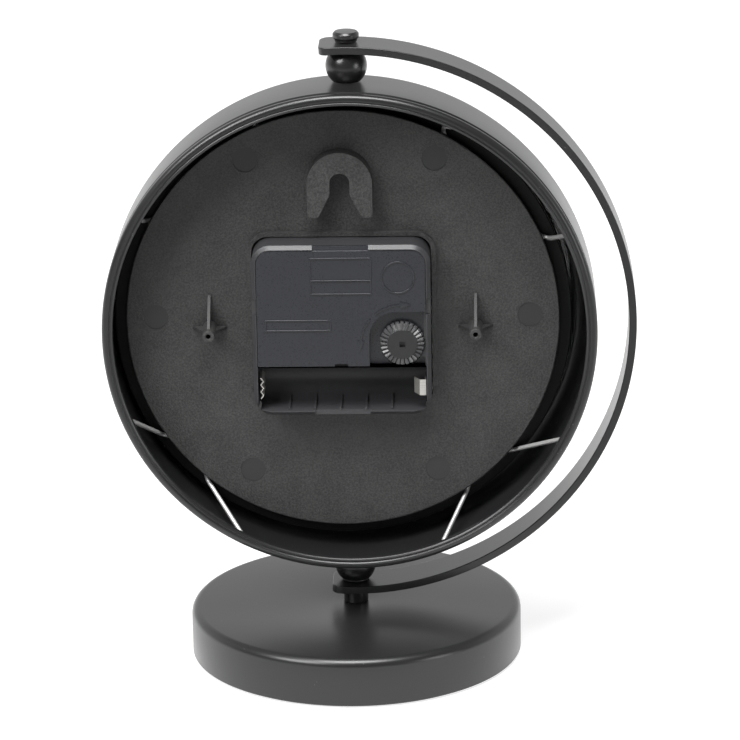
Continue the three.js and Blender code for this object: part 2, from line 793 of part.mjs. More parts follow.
function toothed(teeth, module, phase, front, thickness, [x, z]) {
  const crest = module * (teeth / 2 + addendumShare);
  const root = module * (teeth / 2 - dedendumShare);
  const pitch = 2 * Math.PI / teeth;
  const points = [];
  for (let tooth = 0; tooth < teeth; tooth += 1) {
    const middle = phase + pitch * tooth;
    const half = pitch * toothCrestShare / 2;
    const corners = [[root, middle - pitch / 2], [crest, middle - half], [crest, middle + half]];
    for (const [radius, angle] of corners) {
      points.push([x + radius * Math.cos(angle), z + radius * Math.sin(angle)]);
    }
  }
  return plate(polygon(points), front, front + thickness);
}

// Fronts of the pipes, one ahead of the other
const hourPipeFront = bushFront - hourPipeReach;
const minutePipeFront = hourPipeFront - minutePipeReach;
const secondsShaftFront = minutePipeFront - secondsShaftReach;

function makeWheels() {
  const pivotFront = caseInside - pivotDepth + seatGap;
  const pivotRear = bridgeRear;
  const cannonPhase = 0;
  const motionPhase = meshPhase(cannonTeeth, cannonPhase, motionDirection, motionTeeth);
  const hourPhase = meshPhase(motionPinionTeeth, motionPhase, motionDirection + Math.PI, hourTeeth);
  const knobPhase = meshPhase(motionTeeth, motionPhase, motionToKnob, knobPinionTeeth);
  const secondsPhase = 0;
  const thirdPhase = meshPhase(secondsTeeth, secondsPhase, thirdDirection, thirdPinionTeeth);
  const rotorPhase = meshPhase(thirdTeeth, thirdPhase, rotorDirection, rotorTeeth);
  const reductionPhase = meshPhase(secondsPinionTeeth, secondsPhase, reductionDirection, reductionTeeth);
  const backToCentre = reductionDirection + Math.PI;
  const centrePhase = meshPhase(reductionPinionTeeth, reductionPhase, backToCentre, centreTeeth);

  const hourWheel = joined(
    toothed(hourTeeth, motionModule, hourPhase, hourLevel, wheelThickness, handShaft),
    rod(hourPipeRadius, hourPipeFront, hourLevel + wheelThickness),
  );
  const hourBore = rod(minutePipeRadius + runGap, hourPipeFront - overrun, caseRear);
  addPiece(insert, 'hour_wheel', cut(hourWheel, hourBore), whitePlastic);

  const minutePipe = joined(
    toothed(cannonTeeth, motionModule, cannonPhase, motionLevel, pinionThickness, handShaft),
    rod(minutePipeRadius, minutePipeFront, centreLevel + wheelThickness + levelGap),
  );
  const minuteBore = rod(secondsShaftRadius + runGap, minutePipeFront - overrun, caseRear);
  addPiece(insert, 'minute_pipe', cut(minutePipe, minuteBore), brass);

  const centreWheel = toothed(centreTeeth, centreModule, centrePhase, centreLevel, wheelThickness, handShaft);
  const centreBore = rod(minutePipeRadius + seatGap, caseFront, caseRear);
  addPiece(insert, 'centre_wheel', cut(centreWheel, centreBore), whitePlastic);

  const motionPinion = motionLevel - hourLevel + weld;
  const motionWheel = joined(
    toothed(motionTeeth, motionModule, motionPhase, motionLevel, wheelThickness, motionPlace),
    toothed(motionPinionTeeth, motionModule, motionPhase, hourLevel, motionPinion, motionPlace),
  );
  const motionBore = rod(motionPostRadius + seatGap, caseFront, caseRear, ...motionPlace);
  addPiece(insert, 'motion_wheel', cut(motionWheel, motionBore), whitePlastic);

  const secondsWheel = joined(
    toothed(secondsTeeth, secondsModule, secondsPhase, secondsLevel, wheelThickness, handShaft),
    toothed(secondsPinionTeeth, reductionModule, secondsPhase, reductionLevel, pinionThickness, handShaft),
    rod(secondsShaftRadius, secondsShaftFront, pivotRear, ...handShaft, pivotSides),
  );
  addPiece(insert, 'seconds_wheel', secondsWheel, whitePlastic);

  const thirdPinion = thirdLevel - secondsLevel + weld;
  const thirdWheel = joined(
    toothed(thirdTeeth, rotorModule, thirdPhase, thirdLevel, wheelThickness, thirdPlace),
    toothed(thirdPinionTeeth, secondsModule, thirdPhase, secondsLevel, thirdPinion, thirdPlace),
    rod(arborRadius, pivotFront, pivotRear, ...thirdPlace, pivotSides),
  );
  addPiece(insert, 'third_wheel', thirdWheel, whitePlastic);

  const reductionPinion = reductionLevel - centreLevel + weld;
  const reductionWheel = joined(
    toothed(reductionTeeth, reductionModule, reductionPhase, reductionLevel, wheelThickness, reductionPlace),
    toothed(reductionPinionTeeth, centreModule, reductionPhase, centreLevel, reductionPinion, reductionPlace),
    rod(arborRadius, pivotFront, pivotRear, ...reductionPlace, pivotSides),
  );
  addPiece(insert, 'reduction_wheel', reductionWheel, whitePlastic);

  const rotor = joined(
    toothed(rotorTeeth, rotorModule, rotorPhase, thirdLevel, pinionThickness, rotorPlace),
    rod(rotorRadius, statorLevel - rotorProud, statorLevel + wheelThickness + rotorProud, ...rotorPlace),
    rod(arborRadius, pivotFront, pivotRear, ...rotorPlace, pivotSides),
  );
  addPiece(insert, 'rotor', rotor, brightSteel);

  const knobFront = coverRear - knobThickness;
  const rim = [];
  for (let corner = 0; corner < 2 * knobTeeth; corner += 1) {
    const angle = Math.PI * corner / knobTeeth;
    const radius = corner % 2 ? knobRadius : knobRadius - knobToothDepth / 2;
    rim.push([knobPlace[0] + radius * Math.cos(angle), knobPlace[1] + radius * Math.sin(angle)]);
  }
  const knob = joined(
    plate(polygon(rim), knobFront, coverRear),
    rod(knobSpindleRadius, pivotFront, knobFront + weld, ...knobPlace),
    toothed(knobPinionTeeth, motionModule, knobPhase, motionLevel, pinionThickness, knobPlace),
  );
  addPiece(insert, 'setting_knob', knob, whitePlastic);
}

// The movement's case: a tray open at the back, with the battery trough along its lower side
const halfWidth = caseWidth / 2;
const halfHeight = caseHeight / 2;
const bayLow = bayLowerWall - halfHeight;
const bayCentreHeight = bayLow + batteryRadius;
const bayHigh = bayCentreHeight + batteryRadius;
const roomHalf = halfWidth - caseWall;
const roomLow = bayHigh + bayTrainWall;
const roomHigh = halfHeight - caseWall - caseLedge;
const coverLow = bayHigh + slotGap;
const coverHigh = halfHeight - caseWall - seatGap;
const coverHalf = roomHalf - seatGap;

function makeCase() {
  const outline = roundedRectangle(-halfWidth, halfWidth, -halfHeight, halfHeight, caseCornerRadius);
  const seatHigh = coverHigh + seatGap;
  const seat = roundedRectangle(-roomHalf, roomHalf, bayHigh, seatHigh, caseCornerRadius - caseWall);
  const bayCentre = caseInside + batteryRadius;
  const trough = rod(batteryRadius, -roomHalf, roomHalf, 0, 0, ballSides).rotateZ(Math.PI / 2)
    .translate(0, bayCentre, bayCentreHeight);
  const rearEnd = caseRear + overrun;
  const latchFront = caseRear - latchDepth;
  const halfLatch = latchWidth / 2;
  const hollow = cut(
    plate(outline, caseFront, caseRear),
    block(-roomHalf, roomHalf, caseInside, rearEnd, roomLow, roomHigh),
    plate(seat, coverFront - seatGap, rearEnd),
    trough,
    block(-roomHalf, roomHalf, bayCentre, rearEnd, bayLow, bayHigh),
    rod(knobRadius + slotGap, coverRear - knobPocketDepth - overrun, rearEnd, ...knobPlace, ballSides),
    block(-halfLatch, halfLatch, latchFront, rearEnd, -halfHeight - overrun, bayLow + overrun),
    block(-halfLatch, halfLatch, latchFront, rearEnd, coverHigh - overrun, halfHeight + overrun),
    block(-halfWidth - overrun, -roomHalf + overrun, latchFront, rearEnd, 0, sideLatchHeight),
    block(roomHalf - overrun, halfWidth + overrun, latchFront, rearEnd, 0, sideLatchHeight),
  );
  const posts = [upperPost, lowerPost].flatMap((place) => [
    rod(postRadius, caseInside - caseFloor / 2, bridgeFront - seatGap, ...place, pivotSides),
    rod(postPinRadius, bridgeFront - levelGap, bridgeRear + seatGap, ...place, pivotSides),
  ]);
  const postRoot = caseInside - caseFloor / 2;
  const motionPostRear = motionLevel + wheelThickness + levelGap / 2;
  const whole = joined(
    hollow,
    rod(bushRadius, bushFront, caseFront + caseFloor / 2),
    rod(motionPostRadius, postRoot, motionPostRear, ...motionPlace),
    ...posts,
  );
  const seatDepths = [caseInside - pivotDepth, caseInside + overrun];
  const pivots = [thirdPlace, rotorPlace, reductionPlace]
    .map((place) => rod(pivotHoleRadius, ...seatDepths, ...place, pivotSides));
  const knobSeat = rod(knobSpindleRadius + runGap, ...seatDepths, ...knobPlace);
  const bore = rod(hourPipeRadius + runGap, bushFront - overrun, caseInside + overrun);
  addPiece(insert, 'movement_case', cut(whole, ...pivots, knobSeat, bore), blackPlastic);
}

// The rear cover: a flat lid with a pocket for the knob and blank raised frames

function pocketShape(grow, low) {
  const shape = new THREE.Shape();
  const right = knobX + pocketReach + grow;
  const top = pocketTop + grow;
  shape.moveTo(-coverHalf, low);
  shape.lineTo(right, low);
  shape.absarc(right - pocketCornerRadius, top - pocketCornerRadius, pocketCornerRadius, 0, Math.PI / 2);
  shape.lineTo(-coverHalf, top);
  return shape;
}

function frameLines({ xLow, xHigh, zLow, zHigh }) {
  const outline = roundedRectangle(xLow, xHigh, zLow, zHigh, frameLine);
  const across = [xLow + frameLine, xHigh - frameLine];
  const through = [coverRear - overrun, coverRear + overrun];
  const inside = block(...across, ...through, zLow + frameLine, zHigh - frameLine);
  return cut(plate(outline, coverRear - weld, coverRear + frameProud), inside);
}

function makeCover() {
  const outline = roundedRectangle(-coverHalf, coverHalf, coverLow, coverHigh, caseCornerRadius - caseWall);
  const lid = plate(outline, coverFront, coverRear);
  const pocketFloor = coverRear - knobPocketDepth;
  const tubLow = roomLow + seatGap;
  const tub = plate(pocketShape(pocketWall, tubLow), pocketFloor - pocketWall, coverRear);
  const opened = cut(
    joined(lid, tub),
    plate(pocketShape(0, tubLow - overrun), pocketFloor, coverRear + overrun),
    plate(pocketShape(0, coverLow - overrun), coverFront - seatGap, coverRear + overrun),
    rod(knobSpindleRadius + runGap, pocketFloor - pocketWall - overrun, coverRear, ...knobPlace),
  );
  const disc = rod(roundFrameRadius, coverRear - weld, coverRear + frameProud, ...roundFramePlace, ballSides);
  const discInner = roundFrameRadius - frameLine;
  const hole = rod(discInner, coverRear - overrun, coverRear + overrun, ...roundFramePlace, ballSides);
  const latchHalf = latchWidth / 2 - seatGap;
  const latchFront = caseRear - latchDepth + seatGap;
  const latchHeights = [coverHigh - overrun, halfHeight - seatGap];
  const latch = block(-latchHalf, latchHalf, latchFront, coverRear, ...latchHeights);
  const frames = [frameLines(labelFrame), frameLines(typeFrame), cut(disc, hole), latch];
  addPiece(insert, 'movement_cover', joined(opened, ...frames), coverPlastic);
}

// The battery contacts: a wavy spring strip at one end of the bay and a bent tab at the other

function makeContacts() {
  const low = caseInside + contactDepth / 2;
  const wall = roomHalf - slotGap;
  const steps = springContactHumps * humpSteps;
  const wave = (share) => {
    const swing = 1 - Math.cos(share * springContactHumps * 2 * Math.PI);
    return wall - contactSheet - springContactWave * swing / 2;
  };
  const near = [];
  const far = [];
  for (let at = 0; at <= steps; at += 1) {
    const z = bayCentreHeight - springContactHalf + 2 * springContactHalf * at / steps;
    near.push([wave(at / steps), z]);
    far.unshift([wave(at / steps) - contactSheet, z]);
  }
  const spring = plate(polygon([...near, ...far]), low, caseRear - latchDepth);
  addPiece(insert, 'spring_contact', spring, brightSteel);

  const tabRear = caseRear - latchDepth;
  const tabHeights = [bayCentreHeight - tabContactHalf, bayCentreHeight + tabContactHalf];
  const tab = joined(
    block(-wall, -wall + contactSheet, low, tabRear, ...tabHeights),
    block(-wall, -wall + tabContactReach, tabRear - contactSheet, tabRear, ...tabHeights),
  );
  addPiece(insert, 'tab_contact', tab, brightSteel);
}

// The stepping motor: a stator bent round the rotor, a wound coil on a core, and the circuit

function makeElectrics() {
  const [rotorX, rotorZ] = rotorPlace;
  const coilHeight = roomHigh - coilInset;
  const rear = statorLevel + wheelThickness;
  const legs = coilHeight + statorWidth / 2;
  const legLow = rotorZ - statorWidth / 2;
  const plates = joined(
    rod(rotorRadius + statorHole + statorRing, statorLevel, rear, rotorX, rotorZ),
    block(-coreHalf, coreHalf, statorLevel, rear, legLow, rotorZ + statorWidth / 2),
    block(-coreHalf, -coreHalf + statorWidth, statorLevel, rear, legLow, legs),
    block(coreHalf - statorWidth, coreHalf, statorLevel, rear, legLow, legs),
  );
  const rotorRoom = rod(rotorRadius + statorHole, statorLevel - overrun, rear + overrun, rotorX, rotorZ);
  const stator = cut(plates, rotorRoom);
  addPiece(insert, 'stator', stator, brightSteel);

  const coreDepth = rear + seatGap + coreRadius;
  const winding = turned([
    [0, -coreHalf],
    [coreRadius, -coreHalf],
    [coreRadius, -coilHalf],
    [coilFlangeRadius, -coilHalf],
    [coilFlangeRadius, -coilHalf + coilFlange],
    [coilRadius, -coilHalf + coilFlange],
    [coilRadius, coilHalf - coilFlange],
    [coilFlangeRadius, coilHalf - coilFlange],
    [coilFlangeRadius, coilHalf],
    [coreRadius, coilHalf],
    [coreRadius, coreHalf],
    [0, coreHalf],
  ], shaftSides).rotateZ(Math.PI / 2).translate(0, coreDepth, coilHeight);
  addPiece(insert, 'coil', winding, copper);

  const boardFront = coverFront - boardThickness - slotGap;
  const boardRear = boardFront + boardThickness;
  const boardX = roomHalf - boardMargin - boardHalf;
  const board = block(boardX - boardHalf, boardX + boardHalf, boardFront, boardRear, boardLow, boardHigh);
  addPiece(insert, 'circuit_board', board, boardResin);
  const crystalDepth = boardFront - seatGap - crystalRadius;
  const crystal = rod(crystalRadius, -crystalLength / 2, crystalLength / 2, 0, 0, pivotSides)
    .rotateX(Math.PI / 2).translate(boardX, crystalDepth, (boardLow + boardHigh) / 2);
  addPiece(insert, 'quartz_crystal', crystal, brightSteel);
}

// The bridge: a thin plate on two posts, with a pivot hole for each arbor

function makeBridge() {
  const outline = polygon([
    [reductionPlace[0] + bridgeMargin, bridgeMargin],
    [upperPost[0] + bridgeMargin, upperPost[1] + bridgeMargin],
    [rotorPlace[0] - bridgeMargin, rotorPlace[1] + bridgeMargin],
    [rotorPlace[0] - bridgeMargin, rotorPlace[1] - bridgeMargin],
    [thirdPlace[0] - bridgeMargin, thirdPlace[1] - bridgeMargin],
    [lowerPost[0] - bridgeMargin, lowerPost[1] + bridgeMargin],
    [lowerPost[0] - bridgeMargin, roomLow + slotGap],
    [lowerPost[0] + bridgeMargin, roomLow + slotGap],
    [reductionPlace[0] + bridgeMargin, -bridgeMargin],
  ].reverse());
  const holes = [
    [pivotHoleRadius, thirdPlace],
    [pivotHoleRadius, rotorPlace],
    [pivotHoleRadius, reductionPlace],
    [secondsShaftRadius + runGap, handShaft],
    [postPinRadius + seatGap, upperPost],
    [postPinRadius + seatGap, lowerPost],
  ].map(([radius, place]) => rod(radius, bridgeFront - overrun, bridgeRear + overrun, ...place, pivotSides));
  addPiece(insert, 'train_bridge', cut(plate(outline, bridgeFront, bridgeRear), ...holes), whitePlastic);
}

// The hands: flat pressings, each with a ring pressed on its pipe and turned to the rest time
function makeHand(name, pipeRadius, front, length, width, tail, turns) {
  const half = width / 2;
  const tip = half * handTipShare;
  const rear = front + handSheet;
  const blade = polygon([[-tip, -tail], [tip, -tail], [half, 0], [tip, length], [-tip, length], [-half, 0]]);
  const ring = rod(pipeRadius + handWall, front, rear);
  const whole = joined(plate(blade, front, rear), ring).rotateY(turns * 2 * Math.PI);
  const bore = rod(pipeRadius + seatGap, front - overrun, rear + overrun);
  addPiece(insert, name, cut(whole, bore), blackPlastic);
}

function makeHands() {
  const minuteTurns = restSecond / 60;
  const hourTurns = (restMinute + minuteTurns) / 60;
  const dayTurns = (restHour + hourTurns) / 12;
  const hour = [hourHandLength, hourHandWidth, hourTail, dayTurns];
  const minute = [minuteHandLength, minuteHandWidth, minuteTail, hourTurns];
  const second = [secondHandLength, secondHandWidth, secondTail, minuteTurns];
  makeHand('hour_hand', hourPipeRadius, hourPipeFront, ...hour);
  makeHand('minute_hand', minutePipeRadius, minutePipeFront, ...minute);
  makeHand('second_hand', secondsShaftRadius, secondsShaftFront, ...second);
}

makeBase();
makeArm();
makePivots();
makeDrum();
makeClips();
makeDial();
makePan();
makeHanger();
makeWheels();
makeCase();
makeCover();
makeContacts();
makeElectrics();
makeBridge();
makeHands();

export default clock;
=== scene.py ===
# %% [markdown]
# A table clock seen from behind. A shallow steel drum hangs between two ball pivots in a C-shaped
# steel arm, and the arm rises from a round weighted base. The drum is open at the back, so a plastic
# pan with a hanging hook and a square battery movement shows inside it.
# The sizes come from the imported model, so each piece made here lands where the real one sits.

# %% Load the model
import json
import math

import bmesh
import bpy
from mathutils import Matrix, Vector


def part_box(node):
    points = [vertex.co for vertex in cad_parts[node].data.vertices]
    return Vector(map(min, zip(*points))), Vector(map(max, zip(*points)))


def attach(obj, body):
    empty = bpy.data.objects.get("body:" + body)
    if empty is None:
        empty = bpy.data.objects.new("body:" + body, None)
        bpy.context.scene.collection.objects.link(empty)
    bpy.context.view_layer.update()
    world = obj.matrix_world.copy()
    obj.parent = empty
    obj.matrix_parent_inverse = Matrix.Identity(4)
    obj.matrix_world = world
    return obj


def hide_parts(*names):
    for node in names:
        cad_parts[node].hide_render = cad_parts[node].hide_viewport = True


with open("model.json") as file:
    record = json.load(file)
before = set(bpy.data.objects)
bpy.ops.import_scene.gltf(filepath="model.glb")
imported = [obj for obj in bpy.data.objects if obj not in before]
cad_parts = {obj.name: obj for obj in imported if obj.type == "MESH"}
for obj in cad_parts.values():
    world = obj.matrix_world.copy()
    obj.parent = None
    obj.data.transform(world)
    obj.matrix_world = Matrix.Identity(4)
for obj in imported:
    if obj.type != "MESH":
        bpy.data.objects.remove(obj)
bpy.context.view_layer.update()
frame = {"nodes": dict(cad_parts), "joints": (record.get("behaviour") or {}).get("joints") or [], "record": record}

joint_places = {joint["name"]: Vector(joint["pos_m"]) for joint in frame["joints"]}

# %% [markdown]
# Sizes are written in millimetres, as a maker writes them, and MM turns them into metres. The hands,
# the pan and the movement share one centre, the hand shaft. It sits beside the drum's own axis.

# %% Units and centres
MM = 0.001
origin = Vector((0, 0, 0))
up = Vector((0, 0, 1))
shaft = joint_places["minute_spin"]
drum_axis = joint_places["drum_swivel"]
knob_axis = joint_places["knob_spin"]


def box_mm(node):
    """The low and the high corner of a node's box, in millimetres."""
    return [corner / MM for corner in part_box(node)]


print("shaft", tuple(shaft), "drum axis", tuple(drum_axis))

# %% [markdown]
# The camera stands behind the clock, a little above it, with a long lens. Its place was worked out
# from the outlines of drum, arm, base and movement. A long lens needs no shift, so other views can
# turn the camera freely.

# %% Camera
camera_place = Vector((-48.6, 1294.8, 514)) * MM
camera_turn = math.radians(1.897)
camera_drop = math.radians(17.966)
camera_roll = math.radians(-1.007)
frame_pixels = 740
focal_pixels = 4294.3
sensor_width = 36
farthest = 20


def add_object(name, data):
    """An object of the scene that carries some data."""
    made = bpy.data.objects.new(name, data)
    bpy.context.scene.collection.objects.link(made)
    return made


ahead = Vector((
    math.sin(camera_turn) * math.cos(camera_drop),
    -math.cos(camera_turn) * math.cos(camera_drop),
    -math.sin(camera_drop),
))
level = ahead.cross(up).normalized()
right = math.cos(camera_roll) * level + math.sin(camera_roll) * level.cross(ahead)
camera_data = bpy.data.cameras.new("camera")
camera_data.sensor_width = sensor_width
camera_data.lens = focal_pixels * sensor_width / frame_pixels
camera_data.clip_end = farthest
camera = add_object("camera", camera_data)
camera_axes = Matrix((right, right.cross(ahead), -ahead)).transposed().to_4x4()
camera.matrix_world = Matrix.Translation(camera_place) @ camera_axes
bpy.context.scene.camera = camera
bpy.context.scene.view_settings.view_transform = "Standard"
print("lens", round(camera_data.lens, 1), "mm")

# %% [markdown]
# Every material and tree below is built from nodes, and typing them out one by one soon hides what they
# do. A few small helpers keep it short. One adds a node with its inputs, one adds a sum, one carries a
# value from one range into another, and one tells which rays are the camera's own.

# %% Node helpers


def plug(tree, kind, values=None, **settings):
    """Adds a node, with its settings and inputs. An input may be a number or another node's output."""
    made = tree.nodes.new(kind)
    for name, value in settings.items():
        setattr(made, name, value)
    for name, value in (values or {}).items():
        if isinstance(value, bpy.types.NodeSocket):
            tree.links.new(value, made.inputs[name])
        else:
            made.inputs[name].default_value = value
    return made


def maths(tree, operation, first, second=0.0):
    return plug(tree, "ShaderNodeMath", {0: first, 1: second}, operation=operation).outputs[0]


def mapped(tree, value, start, end, low=0.0, high=1.0, kind="LINEAR"):
    """Carries a value from the range between start and end into the one between low and high."""
    ranges = {"Value": value, "From Min": start, "From Max": end, "To Min": low, "To Max": high}
    return plug(tree, "ShaderNodeMapRange", ranges, interpolation_type=kind).outputs[0]


def sight_rays(tree):
    """The kinds of ray, and a value that is 1 for what the camera sees, through the glass too."""
    rays = plug(tree, "ShaderNodeLightPath").outputs
    return rays, maths(tree, "MAXIMUM", rays["Is Camera Ray"], rays["Is Transmission Ray"])


print("node helpers", [helper.__name__ for helper in (plug, maths, mapped, sight_rays)])

# %% [markdown]
# Black satin paint shows mostly what it reflects. A bright backdrop stands behind the clock, as in a
# photographer's tent, and lights the drum's wall and the flat tops at a glancing angle. The room on the
# camera's side and overhead is dim, so the inside of the drum stays dark. The world makes both from the
# direction in which a ray leaves, and the camera itself sees plain white.

# %% World
backdrop_strength = 0.96
room_strength = 0.12
# The backdrop comes up between these values of the direction's Y, and fades out between these of its Z
backdrop_start, backdrop_full = 0.35, -0.45
backdrop_top, backdrop_low = 0.85, 0.4

world = bpy.data.worlds.new("pale room")
world.use_nodes = True
bpy.context.scene.world = world
sky = world.node_tree
sky.nodes.clear()
seen = sight_rays(sky)[1]
way = plug(sky, "ShaderNodeSeparateXYZ", {0: plug(sky, "ShaderNodeTexCoord").outputs["Generated"]}).outputs
behind = mapped(sky, way[1], backdrop_start, backdrop_full, kind="SMOOTHSTEP")
beneath = mapped(sky, way[2], backdrop_top, backdrop_low, kind="SMOOTHSTEP")
wall_level = mapped(sky, maths(sky, "MULTIPLY", behind, beneath), 0, 1, room_strength, backdrop_strength)
room_light = plug(sky, "ShaderNodeBackground", {"Color": (1, 1, 1, 1),
                                                "Strength": mapped(sky, seen, 0, 1, wall_level, 1.0)})
plug(sky, "ShaderNodeOutputWorld", {"Surface": room_light.outputs[0]})
print("backdrop", backdrop_strength, "room", room_strength)

# %% [markdown]
# Three soft lamps add what the backdrop can't. The high one, on the left as the camera sees it, leaves
# the round highlight on the balls and the screw. The one overhead draws the bright rim along the top of
# the movement's case, and a weak one at the right side lifts the drum's inner wall. Their light is
# small, because a black clock would turn grey under more.

# %% Lamps


def add_lamp(name, place, width, watts):
    lamp = bpy.data.lights.new(name, "AREA")
    lamp.shape = "DISK"
    lamp.size = width
    lamp.energy = watts
    toward = (drum_axis - Vector(place)).to_track_quat("-Z", "Y").to_matrix().to_4x4()
    add_object(name, lamp).matrix_world = Matrix.Translation(place) @ toward


add_lamp("high_lamp", (0.80, 0.84, 1.04), 0.8, 20)
add_lamp("overhead_lamp", (0.05, 0.52, 1.5), 0.9, 34)
add_lamp("side_lamp", (-1.1, 0.7, 0.25), 0.5, 3)
print("lamps", [lamp.name for lamp in bpy.data.lights])

# %% [markdown]
# The floor is matt and only half pale, and a glow that the camera alone sees lifts it to white. So it
# throws little light up on the clock, and the clock's soft shadow stays. Paint and plastic mirror the
# floor too. Behind and under the clock the mirrored floor is bright, and in front of it dark, which
# keeps the pan and the inside of the drum deep black.

# %% Floor
floor_width = 8.0
floor_albedo = 0.38
floor_glow = 0.8
front_mirror = 0.0
rear_mirror = 1.0
# How far in front of the clock's middle the mirrored floor is dark, and how far it is bright, in metres
mirror_dark, mirror_bright = 0.28, 0.06

floor_finish = bpy.data.materials.new("floor_pale")
floor_finish.use_nodes = True
ground = floor_finish.node_tree
ground.nodes.clear()
rays, seen = sight_rays(ground)
spot = plug(ground, "ShaderNodeTexCoord").outputs["Object"]
forward = plug(ground, "ShaderNodeSeparateXYZ", {0: spot}).outputs[1]
mirror_level = mapped(ground, forward, mirror_dark, mirror_bright, front_mirror, rear_mirror, "SMOOTHSTEP")
mirrored = maths(ground, "MULTIPLY", mirror_level, rays["Is Glossy Ray"])
matt = plug(ground, "ShaderNodeBsdfDiffuse", {"Color": (floor_albedo, floor_albedo, floor_albedo, 1)})
glow = plug(ground, "ShaderNodeEmission", {"Color": (1, 1, 1, 1),
                                           "Strength": mapped(ground, seen, 0, 1, mirrored, floor_glow)})
both = plug(ground, "ShaderNodeAddShader", {0: matt.outputs[0], 1: glow.outputs[0]})
plug(ground, "ShaderNodeOutputMaterial", {"Surface": both.outputs[0]})

floor_mesh = bpy.data.meshes.new("floor")
half_floor = floor_width / 2
floor_corners = [(-half_floor, -half_floor, 0), (half_floor, -half_floor, 0),
                 (half_floor, half_floor, 0), (-half_floor, half_floor, 0)]
floor_mesh.from_pydata(floor_corners, [], [(0, 1, 2, 3)])
floor_mesh.materials.append(floor_finish)
floor = add_object("floor", floor_mesh)
print("floor", floor_width, "m wide")

# %% [markdown]
# Three effects come back in many finishes, so each is a shader group built once. Mould grain is the
# fine sparkle of a spark-eroded mould. Paint peel is the soft waviness of stoved paint with a few
# specks of dust. Drawn lines are the long streaks of wire and rolled strip. Each group gives a height
# for the relief and a tone that moves colour and roughness.

# %% Shader groups
# Where a noise's values begin and end to count
sparkle_range = (0.36, 0.68)
patch_range = (0.3, 0.7)
sparkle_share = 0.75
# A speck lies where a cell's middle is near, and only where a broad noise is high
speck_range = (0.12, 0.06)
speck_patch_scale = 140.0
speck_patch_least = 0.7
smudge_scale = 22.0


def start_group(name, inputs, outputs):
    group = bpy.data.node_groups.new(name, "ShaderNodeTree")
    for label, value in inputs.items():
        group.interface.new_socket(label, in_out="INPUT", socket_type="NodeSocketFloat").default_value = value
    for label in outputs:
        group.interface.new_socket(label, in_out="OUTPUT", socket_type="NodeSocketFloat")
    place = plug(group, "ShaderNodeTexCoord").outputs["Object"]
    return group, group.nodes.new("NodeGroupInput").outputs, place


def noise(group, place, scale, detail=2.0, roughness=0.5):
    values = {"Vector": place, "Scale": scale, "Detail": detail, "Roughness": roughness}
    return plug(group, "ShaderNodeTexNoise", values).outputs["Fac"]


def build_mould_grain():
    group, given, place = start_group("mould grain", {"Grain Scale": 1500.0, "Cloud Scale": 60.0},
                                      ["Height", "Tone"])
    grain = noise(group, place, given["Grain Scale"], 3.0, 0.6)
    clouds = noise(group, place, given["Cloud Scale"])
    sparkle = maths(group, "MULTIPLY", mapped(group, grain, *sparkle_range), sparkle_share)
    patches = maths(group, "MULTIPLY", mapped(group, clouds, *patch_range), 1 - sparkle_share)
    plug(group, "NodeGroupOutput", {"Height": grain, "Tone": maths(group, "ADD", sparkle, patches)})
    return group


def build_paint_peel():
    group, given, place = start_group("paint peel", {"Peel Scale": 420.0, "Speck Scale": 900.0},
                                      ["Height", "Tone", "Specks"])
    cells = plug(group, "ShaderNodeTexVoronoi", {"Vector": place, "Scale": given["Speck Scale"]})
    near = mapped(group, cells.outputs["Distance"], *speck_range)
    chosen = maths(group, "GREATER_THAN", noise(group, place, speck_patch_scale, 0.0), speck_patch_least)
    plug(group, "NodeGroupOutput", {"Height": noise(group, place, given["Peel Scale"]),
                                    "Tone": noise(group, place, smudge_scale, 3.0),
                                    "Specks": maths(group, "MULTIPLY", near, chosen)})
    return group


def build_drawn_lines():
    group, given, place = start_group("drawn lines", {"Across Scale": 3000.0, "Along Scale": 60.0},
                                      ["Height", "Tone"])
    stretch = plug(group, "ShaderNodeCombineXYZ", {"X": given["Along Scale"], "Y": given["Across Scale"],
                                                   "Z": given["Across Scale"]})
    scaled = plug(group, "ShaderNodeVectorMath", {0: place, 1: stretch.outputs[0]}, operation="MULTIPLY")
    lines = noise(group, scaled.outputs[0], 1.0)
    plug(group, "NodeGroupOutput", {"Height": lines, "Tone": lines})
    return group


mould_grain = build_mould_grain()
paint_peel = build_paint_peel()
drawn_lines = build_drawn_lines()
print("shader groups", [group.name for group in (mould_grain, paint_peel, drawn_lines)])

# %% [markdown]
# One helper starts each finish. It places the group, lets its tone move the colour and the roughness
# between two values each, and feeds its height to a Bump node. What is the same all over the surface,
# such as metalness, is set on the shader itself.

# %% Finish helper


def grey(value, blue=0.0):
    """A grey, with a little more or less blue."""
    return value, value, value + blue


def finish(name, group, dark, light, rough, bump, scales=(), **fixed):
    """dark and light are the two colours, and rough the two roughnesses, that the tone moves between.
    bump is the strength and the depth in millimetres. scales follow the order of the group's inputs."""
    material = bpy.data.materials.new(name)
    material.use_nodes = True
    tree = material.node_tree
    tree.nodes.clear()
    effect = plug(tree, "ShaderNodeGroup", node_tree=group)
    for socket, value in zip(effect.inputs, scales):
        socket.default_value = value
    tone = effect.outputs["Tone"]
    colour = plug(tree, "ShaderNodeMix", {"Factor": tone, 6: (*dark, 1), 7: (*light, 1)}, data_type="RGBA")
    strength, depth = bump
    relief = plug(tree, "ShaderNodeBump", {"Height": effect.outputs["Height"], "Strength": strength,
                                           "Distance": depth * MM})
    shader = plug(tree, "ShaderNodeBsdfPrincipled", {"Base Color": colour.outputs[2],
                                                     "Roughness": mapped(tree, tone, 0, 1, *rough),
                                                     "Normal": relief.outputs[0], **fixed})
    plug(tree, "ShaderNodeOutputMaterial", {"Surface": shader.outputs[0]})
    return material


print("a dark grey is", grey(0.02))

